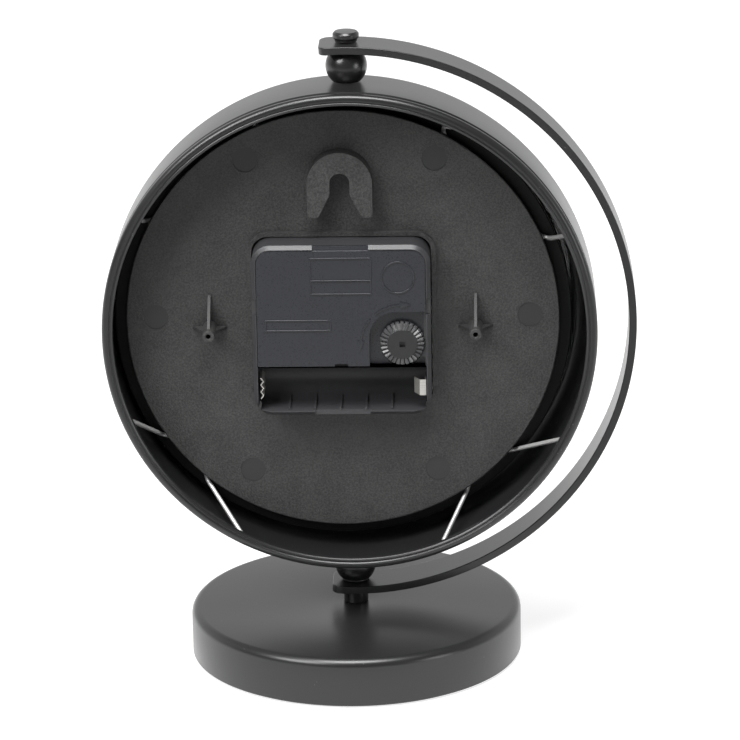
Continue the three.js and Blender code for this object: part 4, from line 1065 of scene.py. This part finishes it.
# %% Pan plate
pan_low, pan_high = box_mm("back_pan")
pan_radius = 68.5
pan_wall_radius = 61.0
pan_wall = 1.8
pan_steps = 224
pan_edge = 0.5
flange_thickness = 1.2
groove = 2.3
plate_thickness = 2.0
flange_rear = pan_low.y + flange_thickness
plate_front = flange_rear + groove
plate_rear = plate_front + plate_thickness
flange_radius = pan_high.x - shaft.x / MM
pan_inside = pan_wall_radius - pan_wall
pan = turned("pan_moulding", [
    (pan_inside, pan_low.y, small_edge), (flange_radius, pan_low.y, soft_edge),
    (flange_radius, flange_rear, soft_edge), (pan_wall_radius, flange_rear, soft_edge),
    (pan_wall_radius, plate_front, soft_edge), (pan_radius, plate_front, soft_edge),
    (pan_radius, plate_rear, pan_edge), (0, plate_rear, 0), (0, plate_front, 0),
    (pan_inside, plate_front, soft_edge),
], shaft, pan_plastic, steps=pan_steps)
print("pan plate from", plate_front, "to", plate_rear)

# %% [markdown]
# The window is a hole with rounded corners, and a low frame runs round its top and sides. Tools that
# cut reach a little past the face, because a Boolean needs two surfaces that really cross.

# %% Window
window_half_width = 28.3
window_half_height = 28.05
window_corner = 5.0
frame_wall = 1.4
frame_corner = window_corner + frame_wall
frame_height = 1.6
frame_end = -21.5
past = 1.0
root = plate_rear - plate_thickness / 2
frame_rear = plate_rear + frame_height
frame_half = window_half_width + frame_wall
frame_top = window_half_height + frame_wall
frame_outline = filleted([(-frame_half, frame_end, 0), (frame_half, frame_end, 0),
                          (frame_half, frame_top, frame_corner), (-frame_half, frame_top, frame_corner)])
window_outline = rectangle(-window_half_width, window_half_width, -window_half_height, window_half_height,
                           window_corner)
pan_joins = [plate("frame", [frame_outline], root, frame_rear, pan_plastic)]
pan_cuts = [plate("window", [window_outline], plate_front - past, frame_rear + past, pan_plastic)]
print("window", 2 * window_half_width, "by", 2 * window_half_height)

# %% [markdown]
# The hook is an arch with a slot that ends in an open mouth, so the clock can hang on a nail. It is
# hollow from the front, as mouldings are, to keep the walls even. The same arch, drawn smaller, cuts
# the hollow.

# %% Hook
hook_half = 10.2
hook_low = 35.3
hook_arch = 46.0
hook_height = 6.0
hook_wall = 1.4
hook_tip = 1.4
hook_edge = 0.35
neck_half = 3.1
neck_low = 42.8
neck_round = 2.0
mouth_half = 6.8
slot_top = 49.6
seat_sink = 0.05


def half_circle(radius, centre_height):
    """Corners over the top of an arch, from its right side to its left."""
    return unfilleted(arc((0, centre_height), radius, 0, math.pi))


hook_rear = plate_rear + hook_height
hook_outline = filleted([
    (-mouth_half, hook_low, hook_tip), (-neck_half, neck_low, neck_round),
    *reversed(half_circle(neck_half, slot_top - neck_half)),
    (neck_half, neck_low, neck_round), (mouth_half, hook_low, hook_tip), (hook_half, hook_low, hook_tip),
    *half_circle(hook_half, hook_arch), (-hook_half, hook_low, hook_tip),
])
pocket_half = hook_half - hook_wall
hook_hollow = filleted([(-pocket_half, hook_low - past, 0), (pocket_half, hook_low - past, 0),
                        *half_circle(pocket_half, hook_arch)])
hook = plate("hook_moulding", [hook_outline], plate_rear - seat_sink, hook_rear, pan_plastic)
hollow = plate("hook_pocket", [hook_hollow], plate_rear - past, hook_rear - hook_wall, pan_plastic)
shaped(hook, cuts=[hollow], edge=hook_edge, edge_steps=3)
dress(hook, "drum", "pan_plastic", "hanging_hook")

# %% [markdown]
# Two bosses stand beside the window, each a tube with a narrow hole. Thin triangular webs, the gussets,
# hold it upright. A gusset is drawn as one triangle with a low foot on the plate, twice, half its wall
# to either side.

# %% Bosses
boss_reach = 42.0
boss_height = 10.0
boss_drop = 2.0
boss_radius = 1.9
boss_flare = 0.4
boss_hole = 0.8
boss_hole_depth = 7
boss_steps = 40
gusset_reach = 5.4
gusset_rise = 10.8
gusset_wall = 0.9
gusset_lip = 0.3
side_gusset_drop = 4.0
top_gusset_drop = 1.5


def gusset(side, reach, rise, height):
    """A thin triangular web beside a boss, drawn in the plane that it stands in."""
    along = Vector((reach, 0, rise)).normalized()
    flat = Vector((-along.z, 0, along.x)) * gusset_wall / 2
    start = Vector((side, root, -boss_drop))
    foot = start + along * (boss_hole + boss_radius) / 2
    tip = start + Vector((reach, 0, rise))
    lip = tip + Vector((0, plate_rear + gusset_lip - root, 0))
    crest = foot + Vector((0, height - root, 0))
    rows = [[shaft + (spot + way) * MM for spot in (foot, tip, lip, crest)] for way in (-flat, flat)]
    return lofted("gusset", rows, pan_plastic)


boss_rear = plate_rear + boss_height
boss_floor = boss_rear - boss_hole_depth
for side in (-boss_reach, boss_reach):
    pan_joins.append(turned("boss", [
        (0, root, 0), (boss_radius + boss_flare, root, 0), (boss_radius, boss_rear, small_edge),
        (boss_hole, boss_rear, fine_edge), (boss_hole, boss_floor, 0), (0, boss_floor, 0),
    ], shaft + Vector((side, 0, -boss_drop)) * MM, pan_plastic, steps=boss_steps))
    pan_joins.append(gusset(side, gusset_reach, 0, boss_rear - side_gusset_drop))
    pan_joins.append(gusset(side, -gusset_reach, 0, boss_rear - side_gusset_drop))
    pan_joins.append(gusset(side, 0, gusset_rise, boss_rear - top_gusset_drop))
print("bosses at", boss_reach, "either side of the shaft")

# %% [markdown]
# Six ejector pins pushed the pan out of its mould and left shallow round marks in the grain. Discs with
# a smoother finish cut them. The faces that lie deeper than the grained one get the plain finish of an
# ungrained mould, painted darker as a painted shade for the deep parts.

# %% Pin marks and the whole pan
pin_radius = 4.0
pin_ring = 59.1
pin_rise = 1.5
pin_depth = 0.25
pin_steps = 40
pin_count = 6
grain_and_shade_depth = 0.3
pin_seed = turned("pin", hoop(0, pin_radius, plate_rear - pin_depth, plate_rear + past),
                  Vector((pin_ring * MM, 0, 0)), pin_mark, steps=pin_steps)
pan_cuts.append(copied("pins", ring_tree, pin_seed, pin_count, pin_mark, Centre=shaft + up * pin_rise * MM))
shaped(pan, pan_joins, pan_cuts)
# Faces deeper than this get the darker finish, a painted shade
pan.data.materials.append(smooth_plastic)
for face in pan.data.polygons:
    if face.center.y < (plate_rear - grain_and_shade_depth) * MM:
        face.material_index = len(pan.data.materials) - 1
dress(pan, "drum", "pan_plastic", "back_pan")

# %% [markdown]
# Four bent spring wires press the pan forward. The middle of each lies in the pan's groove, and its ends
# spring out and hook under the drum's bead. A tree rounds the bends of a plain line of points and
# sweeps a round wire along it.

# %% Tree for a bent wire
bend_steps = 8
wire_sides = 20


def build_wire_tree():
    tree, given = start_tree("bent wire", {"Wire Radius": "Float", "Bend Radius": "Float",
                                           "Finish": "Material"})
    line = plug(tree, "GeometryNodeMeshToCurve", {"Mesh": given["Geometry"]})
    bent = plug(tree, "GeometryNodeFilletCurve", {"Curve": line.outputs[0], "Radius": given["Bend Radius"],
                                                  "Count": bend_steps, "Limit Radius": True}, mode="POLY")
    ring = plug(tree, "GeometryNodeCurvePrimitiveCircle", {"Radius": given["Wire Radius"],
                                                           "Resolution": wire_sides})
    wire = plug(tree, "GeometryNodeCurveToMesh", {"Curve": bent.outputs[0],
                                                  "Profile Curve": ring.outputs["Curve"], "Fill Caps": True})
    return end_tree(tree, wire.outputs[0], given["Finish"])


wire_tree = build_wire_tree()
print(wire_tree.name, "has", len(wire_tree.nodes), "nodes")

# %% [markdown]
# Each clip's line has six points. Its ends lie under the bead, and four points lead it down to the
# groove and along it. The upper two clips are wide and the lower two narrow, as the visible
# ends show.

# %% Spring clips
wire_radius = 0.7
wire_gap = 0.3
wire_bend = 2.4
tuck = 2.5
exit_gap = 0.9
bead_height = 3.5
upper_shape = {"middle_half": 20.0, "exit_half": 24.8, "end_angle": math.radians(17.6)}
lower_shape = {"middle_half": 5.2, "exit_half": 10.4, "end_angle": math.radians(20)}
clips = [(48, upper_shape), (138, upper_shape), (228, lower_shape), (318, lower_shape)]
groove_depth = (flange_rear + plate_front) / 2
wire_end_radius = drum_radius - drum_sheet - wire_radius - wire_gap
wire_end_depth = drum_high.y - bead_height - wire_radius - wire_gap


def clip_points(middle, middle_half, exit_half, end_angle):
    outward = Vector((math.cos(middle), 0, math.sin(middle)))
    across = Vector((-math.sin(middle), 0, math.cos(middle)))

    def in_pan(along, radius):
        reach = math.sqrt(radius ** 2 - along ** 2)
        return shaft + (outward * reach + across * along + Vector((0, groove_depth, 0))) * MM

    def under_bead(angle):
        out = Vector((math.cos(angle) * wire_end_radius, wire_end_depth, math.sin(angle) * wire_end_radius))
        return drum_axis + out * MM

    exit_radius = pan_radius + wire_radius + exit_gap
    return [under_bead(middle - end_angle), in_pan(-exit_half, exit_radius),
            in_pan(-middle_half, pan_radius - tuck), in_pan(middle_half, pan_radius - tuck),
            in_pan(exit_half, exit_radius), under_bead(middle + end_angle)]


for number, (degrees, shape) in enumerate(clips, 1):
    points = clip_points(math.radians(degrees), **shape)
    line_mesh = bpy.data.meshes.new("clip_line")
    line_mesh.from_pydata(points, [(at, at + 1) for at in range(len(points) - 1)], [])
    line = add_object(f"clip_wire_{number}", line_mesh)
    clip = grown(line.name, wire_tree, {"Wire Radius": wire_radius * MM, "Bend Radius": wire_bend * MM,
                                        "Finish": spring_wire}, line)
    dress(clip, "drum", "spring_wire", f"spring_clip_{number}")

# %% [markdown]
# The movement's case is a square tray with round corners. Its lower part is the battery trough, and the
# works lie in the room above it. The cover sits in a shallow seat. All of these share a few sizes, and
# the rest is worked out from them, so they come first.

# %% Sizes of the movement
case_low, case_high = box_mm("movement_case")
case_half_width = 28.0
case_half_height = 27.75
case_depth = 15.8
case_front = case_high.y - case_depth
case_rear = case_high.y
case_corner = 5.8
case_wall = 1.4
case_chamfer = 1.15
case_floor = 1.2
case_edge = 0.15
block_edge = 0.005
seat_corner = 4.5
seat_depth = 1.5
room_ledge = 0.8
room_top_ledge = 1.05
cover_gap = 0.1
case_inside = case_front + case_floor
room_half = case_half_width - case_wall
battery_radius = 7.125
bay_low = -26.225
bay_wall = 2.4
bay_centre = bay_low + battery_radius
bay_high = bay_centre + battery_radius
bay_axis = case_inside + battery_radius
latch_half = 8.75
side_latch_low = 5.2
side_latch_high = 10.4
latch_depth = 1.3
cover_high = case_half_height - case_wall - cover_gap
seat_high = cover_high + cover_gap
knob_offset = (knob_axis - shaft) / MM
knob_room_edge = knob_offset.x + 11.4
knob_room_depth = 4.1
knob_room_rise = 3
knob_room_gap = 0.4
print("case", 2 * case_half_width, "by", 2 * case_half_height, "by", case_depth)

# %% [markdown]
# The tray is cut from one block with a chamfered rim. The chamfer is the case's bright edge, and the
# notches of the latches break it. Most of the cuts are plain blocks that start behind the case, and only
# the trough needs a solid of its own, with a round bottom and a straight mouth.

# %% Movement case


def block(name, x_low, x_high, front, rear, z_low, z_high, material, radius=0.0):
    return plate(name, [rectangle(x_low, x_high, z_low, z_high, radius)], front, rear, material, block_edge)


def case_cut(name, x_low, x_high, z_low, z_high, depth=latch_depth, radius=0.0):
    """A block that cuts into the case from behind."""
    front, rear = case_rear - depth, case_rear + past
    return block(name, x_low, x_high, front, rear, z_low, z_high, case_plastic, radius)


def trough_solid():
    """The battery's trough with its open mouth, as one bar along X."""
    mouth = case_rear + past
    outline = [*arc((bay_axis, bay_centre), battery_radius, -math.pi / 2, -math.pi * 1.5),
               (mouth, bay_high), (mouth, bay_low)]
    rows = [[shaft + Vector((x, y, z)) * MM for y, z in outline] for x in (-room_half, room_half)]
    return lofted("trough", rows, case_plastic)


case_outline = rectangle(-case_half_width, case_half_width, -case_half_height, case_half_height, case_corner)
seat_outline = filleted([(-room_half, bay_high - past, 0), (room_half, bay_high - past, 0),
                         (room_half, seat_high, seat_corner), (-room_half, seat_high, seat_corner)])
case = plate("movement_tray", [case_outline], case_front, case_rear, case_plastic, case_chamfer)
case_cuts = [
    trough_solid(),
    plate("cover_seat", [seat_outline], case_rear - seat_depth, case_rear + past, case_plastic, block_edge),
    case_cut("works_room", -room_half + room_ledge, room_half - room_ledge, bay_high + bay_wall,
             cover_high - room_top_ledge, case_rear - case_inside, seat_corner),
    case_cut("top_notch", -latch_half, latch_half, cover_high - past, case_half_height + past),
    case_cut("low_notch", -latch_half, latch_half, -case_half_height - past, bay_low + past),
    case_cut("left_notch", -case_half_width - past, -room_half + past, side_latch_low, side_latch_high),
    case_cut("right_notch", room_half - past, case_half_width + past, side_latch_low, side_latch_high),
    case_cut("knob_room", -room_half + knob_room_gap, knob_room_edge, bay_high - past,
             bay_high + knob_room_rise, knob_room_depth),
]
print("cuts", [cut.name for cut in case_cuts])

# %% [markdown]
# A round bush at the case's front carries the nut that holds the movement to the dial, and the hands'
# pipes turn in its bore. Both are turned, one joined to the tray and the other cut from it.

# %% Bush and bore
bush_radius = 3.9
bush_root = 0.6
bore_radius = 2.85
bush_steps = 48
bush_end = case_front + bush_root
bush = turned("bush", [(0, case_low.y, 0), (bush_radius, case_low.y, soft_edge), (bush_radius, bush_end, 0),
                       (0, bush_end, 0)], shaft, case_plastic, steps=bush_steps)
bore = turned("bore", hoop(0, bore_radius, case_low.y - past, case_inside + past), shaft, case_plastic,
              steps=bush_steps)
dress(shaped(case, [bush], [*case_cuts, bore], edge=case_edge), "drum", "case_plastic", "movement_case")

# %% [markdown]
# Low fins in the trough hold the battery off the wall. They stand in a row at even steps, so the row
# tree sets them. Each follows the trough's round bottom, which is why it is drawn with two arcs.

# %% Ribs of the battery bay
rib_width = 0.6
rib_height = 0.7
rib_root = 0.3
rib_first = -15.4
rib_step = 8.1
rib_count = 5
rib_turn = math.radians(40)


def rib_solid():
    """A low fin that runs along the bottom of the trough and up its front wall."""
    sides = []
    for radius in (battery_radius + rib_root, battery_radius - rib_height):
        mouth = (case_rear - case_chamfer, bay_centre - radius)
        sides.append([mouth, *arc((bay_axis, bay_centre), radius, -math.pi / 2, -math.pi / 2 - rib_turn)])
    outline = [*sides[0], *reversed(sides[1])]
    rows = [[Vector((x, y, shaft.z / MM + z)) * MM for y, z in outline]
            for x in (-rib_width / 2, rib_width / 2)]
    return lofted("rib", rows, case_plastic)


ribs = copied("battery_bay_ribs", row_tree, rib_solid(), rib_count, case_plastic,
              Start=Vector((shaft.x + rib_first * MM, 0, 0)), Step=Vector((rib_step * MM, 0, 0)))
dress(ribs, "drum", "case_plastic")

# %% [markdown]
# The flat battery contact is a springy strip with one sharp bend. Its end lies flat at the bay's wall, and
# the longer part folds away into the bay. A bent outline, as thick as the sheet, is raised along Z.

# %% Tab contact
tab_low, tab_high = box_mm("tab_contact")
tab_sheet = 0.35
tab_flat = 2.0
tab_fold_depth = 3.2
tab_edge = 0.08
tab_line = [(tab_low.x, tab_low.y), (tab_low.x, tab_high.y), (tab_low.x + tab_flat, tab_high.y),
            (tab_high.x - tab_sheet, tab_high.y - tab_fold_depth)]


def bent_sheet(name, line, thickness, z_low, z_high, material):
    """A sheet of some thickness that follows a line of (x, y) points, raised along Z."""
    points = [Vector(point) for point in line]
    inner = []
    for at, point in enumerate(points):
        before = (point - points[at - 1]).normalized() if at else (points[1] - point).normalized()
        after = (points[at + 1] - point).normalized() if at + 1 < len(points) else before
        across = Vector((before.y + after.y, -before.x - after.x)).normalized()
        inner.append(point + across * thickness / across.dot(Vector((before.y, -before.x))))
    outline = [*points, *reversed(inner)]
    rows = [[Vector((x, y, z)) * MM for x, y in outline] for z in (z_low, z_high)]
    last = len(outline) - 1
    caps = [(at, at + 1, last - at - 1, last - at) for at in range(len(points) - 1)]
    return lofted(name, rows, material, caps)


tab = bent_sheet("bent_tab_contact", tab_line, tab_sheet, tab_low.z, tab_high.z, contact_strip)
dress(shaped(tab, edge=tab_edge), "drum", "contact_strip", "tab_contact")

# %% [markdown]
# The cover is the smoothest part. Its outline follows the case's seat with a small gap, and the pocket's
# place follows the knob's axis, so both still fit when the movement is moved or resized.

# %% Sizes of the cover
cover_thickness = 1.2
cover_corner = 4.3
cover_edge = 0.15
cover_round = 0.2
lid_corner = 0.5
cover_rear = case_rear - cover_gap
cover_front = cover_rear - cover_thickness
cover_half = room_half - cover_gap
cover_low = bay_high + 0.3
pocket_right = knob_offset.x + 10.3
pocket_top = 6.2
pocket_depth = 2.9
pocket_corner = 8.0
pocket_past = 0.4
tub_wall = 0.9
tub_sink = 0.3
tongue_sink = 0.25
spindle_radius = 1.25
spindle_depth = 6
spindle_steps = 32
pry_left, pry_right, pry_height, pry_corner = -1.9, 2.3, 0.9, 0.4
print("cover", round(2 * cover_half, 2), "by", round(cover_high - cover_low, 2))

# %% [markdown]
# A tub with one round corner hangs under the cover, and a pocket is cut into the tub so that the knob
# can lie deep. A tongue at the top snaps into the case, and a small notch at the lower edge lets a
# blade pry the cover off.

# %% Movement cover


def pocket_outline(x_low, low, grow):
    """The pocket's outline, with one round corner at its top right."""
    return filleted([(x_low, low, 0), (pocket_right + grow, low, 0),
                     (pocket_right + grow, pocket_top + grow, pocket_corner), (x_low, pocket_top + grow, 0)])


lid_outline = filleted([(-cover_half, cover_low, lid_corner), (cover_half, cover_low, lid_corner),
                        (cover_half, cover_high, cover_corner), (-cover_half, cover_high, cover_corner)])
cover = plate("cover_lid", [lid_outline], cover_front, cover_rear, cover_plastic, cover_round, 2)
tongue = block("tongue", -latch_half + cover_gap, latch_half - cover_gap, case_rear - latch_depth + cover_gap,
               cover_rear - tongue_sink, cover_high - past, case_half_height - cover_gap, cover_plastic)
tub = plate("tub", [pocket_outline(-cover_half + cover_gap, cover_low + cover_gap, tub_wall)],
            cover_rear - pocket_depth - tub_wall, cover_rear - tub_sink, cover_plastic)
pocket = plate("pocket", [pocket_outline(-cover_half - pocket_past, cover_low - past, 0)],
               cover_rear - pocket_depth, cover_rear + past, cover_plastic)
spindle_hole = turned("spindle_hole", hoop(0, spindle_radius, cover_rear - spindle_depth, cover_rear),
                      knob_axis, cover_plastic, steps=spindle_steps)
pry_notch = block("pry_notch", pry_left, pry_right, cover_front - past, cover_rear + past, cover_low - past,
                  cover_low + pry_height, cover_plastic, pry_corner)
shaped(cover, [tongue, tub], [pocket, spindle_hole, pry_notch], edge=cover_edge)
dress(cover, "drum", "cover_plastic", "movement_cover")

# %% [markdown]
# Thin raised lines frame the fields of the cover. The fields are blank here. The lines are plates with
# a hole, so low that only their rounded edges catch the light.

# %% Frames on the cover
line_width = 0.5
line_height = 0.32
line_edge = 0.16
# Left, right, low and high edges, and for the round frame its radius and its middle
label_frame = (-9.7, 9.7, 11.9, 24.0)
label_divider = (-9.3, 9.3, 16.2, 16.7)
type_frame = (3.1, 24.0, 0.0, 3.8)
round_radius = 5.3
round_middle = (-17.9, 17.4)


def add_line(name, loops, edge=line_edge, edge_steps=2):
    top = cover_rear + line_height
    dress(plate(name, loops, cover_rear - seat_sink, top, cover_plastic, edge, edge_steps), "drum",
          "cover_plastic")


def frame_loops(x_low, x_high, z_low, z_high):
    return (rectangle(x_low, x_high, z_low, z_high, line_width),
            rectangle(x_low + line_width, x_high - line_width, z_low + line_width, z_high - line_width,
                      small_edge))


def circle(middle, radius, steps=64):
    return arc(middle, radius, 0, 2 * math.pi, steps)[:-1]


add_line("label_frame", frame_loops(*label_frame))
add_line("label_divider", [rectangle(*label_divider, fine_edge)])
add_line("type_frame", frame_loops(*type_frame))
add_line("round_frame", [circle(round_middle, round_radius), circle(round_middle, round_radius - line_width)])

# %% [markdown]
# Two curved arrows point both ways round the knob, one to each side, and show how it turns. Each is an
# arc as wide as the frames' lines, with a pointed head at its end.

# %% Arrows on the cover
arrow_radius = 13.0
arrow_head_half = 1.125
arrow_head_length = 3.42
arrow_edge = 0.06


def arrow_outline(first, last):
    """A curved arrow round the knob, with its head at the last angle."""
    middle = Vector(knob_offset.xz)
    outer = arc(middle, arrow_radius + line_width / 2, first, last)
    inner = arc(middle, arrow_radius - line_width / 2, first, last)
    spoke = Vector((math.cos(last), math.sin(last)))
    along = Vector((-spoke.y, spoke.x)) * (1 if last > first else -1)
    end = middle + spoke * arrow_radius
    head = [end + spoke * arrow_head_half, end + along * arrow_head_length, end - spoke * arrow_head_half]
    return [*outer, *head, *reversed(inner)]


for name, first, last in (("turn_arrow_left", 40, 6), ("turn_arrow_right", 50, 88)):
    add_line(name, [arrow_outline(math.radians(first), math.radians(last))], arrow_edge, 1)

# %% [markdown]
# The setting knob is a disc with ridges round it and a square dimple in its middle. Each ridge has a roof
# shape, so those that face the lamp shine and the others stay dark. The ridges are also painted a lighter
# grey than the disc, a painted highlight. One ridge is made, and the ring tree turns the others round the spindle.

# %% Setting knob
knob_low, knob_high = box_mm("setting_knob")
knob_radius = (knob_high.x - knob_low.x) / 2
knob_disc = 4.9
knob_rear = knob_high.y
knob_front = knob_rear - 2.4
knob_steps = 120
knob_edge = 0.08
hub_radius = knob_radius - 0.75
hub_rear = knob_rear - 1.7
disc_radius = knob_disc - 0.1
disc_front = knob_rear - 0.55
stub_radius = 1.0
dimple_half = 0.9
dimple_depth = 1.1
ridge_count = 28
ridge_foot = knob_front + 0.2
# How far out, the half width, and how far the shoulder and the crest lie below the knob's face
ridge_sections = [(knob_disc - 0.5, 0.38, 0.4, 0.12), (knob_radius - 0.5, 0.62, 0.6, 0.25),
                  (knob_radius, 0.58, 1.3, 1.0)]


def ridge_bar(name, sections, foot, top, material):
    """A radial bar along +Z with a roof-shaped section."""
    rows = []
    for radius, half, shoulder, crest in sections:
        corners = [(-half, foot), (half, foot), (half, top - shoulder), (0, top - crest),
                   (-half, top - shoulder)]
        rows.append([Vector((x, y, radius)) * MM for x, y in corners])
    return lofted(name, rows, material)


# The ridge's lighter colour is a painted highlight
ridge = ridge_bar("ridge", ridge_sections, ridge_foot, knob_rear, ridge_plastic)
ridge_ring = copied("ridge_ring", ring_tree, ridge, ridge_count, ridge_plastic, Centre=knob_axis)
knob = turned("time_setting_knob", [
    (0, knob_low.y, 0), (stub_radius, knob_low.y, small_edge), (stub_radius, knob_front, 0),
    (hub_radius, knob_front, small_edge), (hub_radius, hub_rear, fine_edge),
    (disc_radius, disc_front, fine_edge), (disc_radius, knob_rear, small_edge), (0, knob_rear, 0),
], knob_axis, knob_plastic, steps=knob_steps)
dimple = block("dimple", knob_offset.x - dimple_half, knob_offset.x + dimple_half, knob_rear - dimple_depth,
               knob_rear + past, knob_offset.z - dimple_half, knob_offset.z + dimple_half, knob_plastic)
shaped(knob, [ridge_ring], [dimple], edge=knob_edge, edge_steps=1)
dress(knob, "knob_arbor", "case_plastic", "setting_knob")

# %% [markdown]
# The wheels, the coil and the other works lie inside the closed case, so their plain solids stay, each
# with its own finish. The hands, the spring contact and the fasteners keep their solids too.

# %% Finishes of the solids that stay
kept_finishes = {
    "plated_steel": plated_steel, "weight_iron": weight_iron, "gear_plastic": gear_plastic,
    "turned_brass": turned_brass, "coil_copper": coil_copper, "board_resin": board_resin,
    "contact_strip": contact_strip, "pad_rubber": pad_rubber, "hand_paint": hand_paint,
    "black_paint": black_paint, "spring_wire": spring_wire,
}
slot_of = {part["node"]: part["material_slot"] for part in frame["record"]["subparts"]}
kept = {name: node for name, node in frame["nodes"].items() if not node.hide_render}
for name, node in kept.items():
    node.data.materials.clear()
    node.data.materials.append(kept_finishes[slot_of[name]])
print("solids kept", sorted(kept))
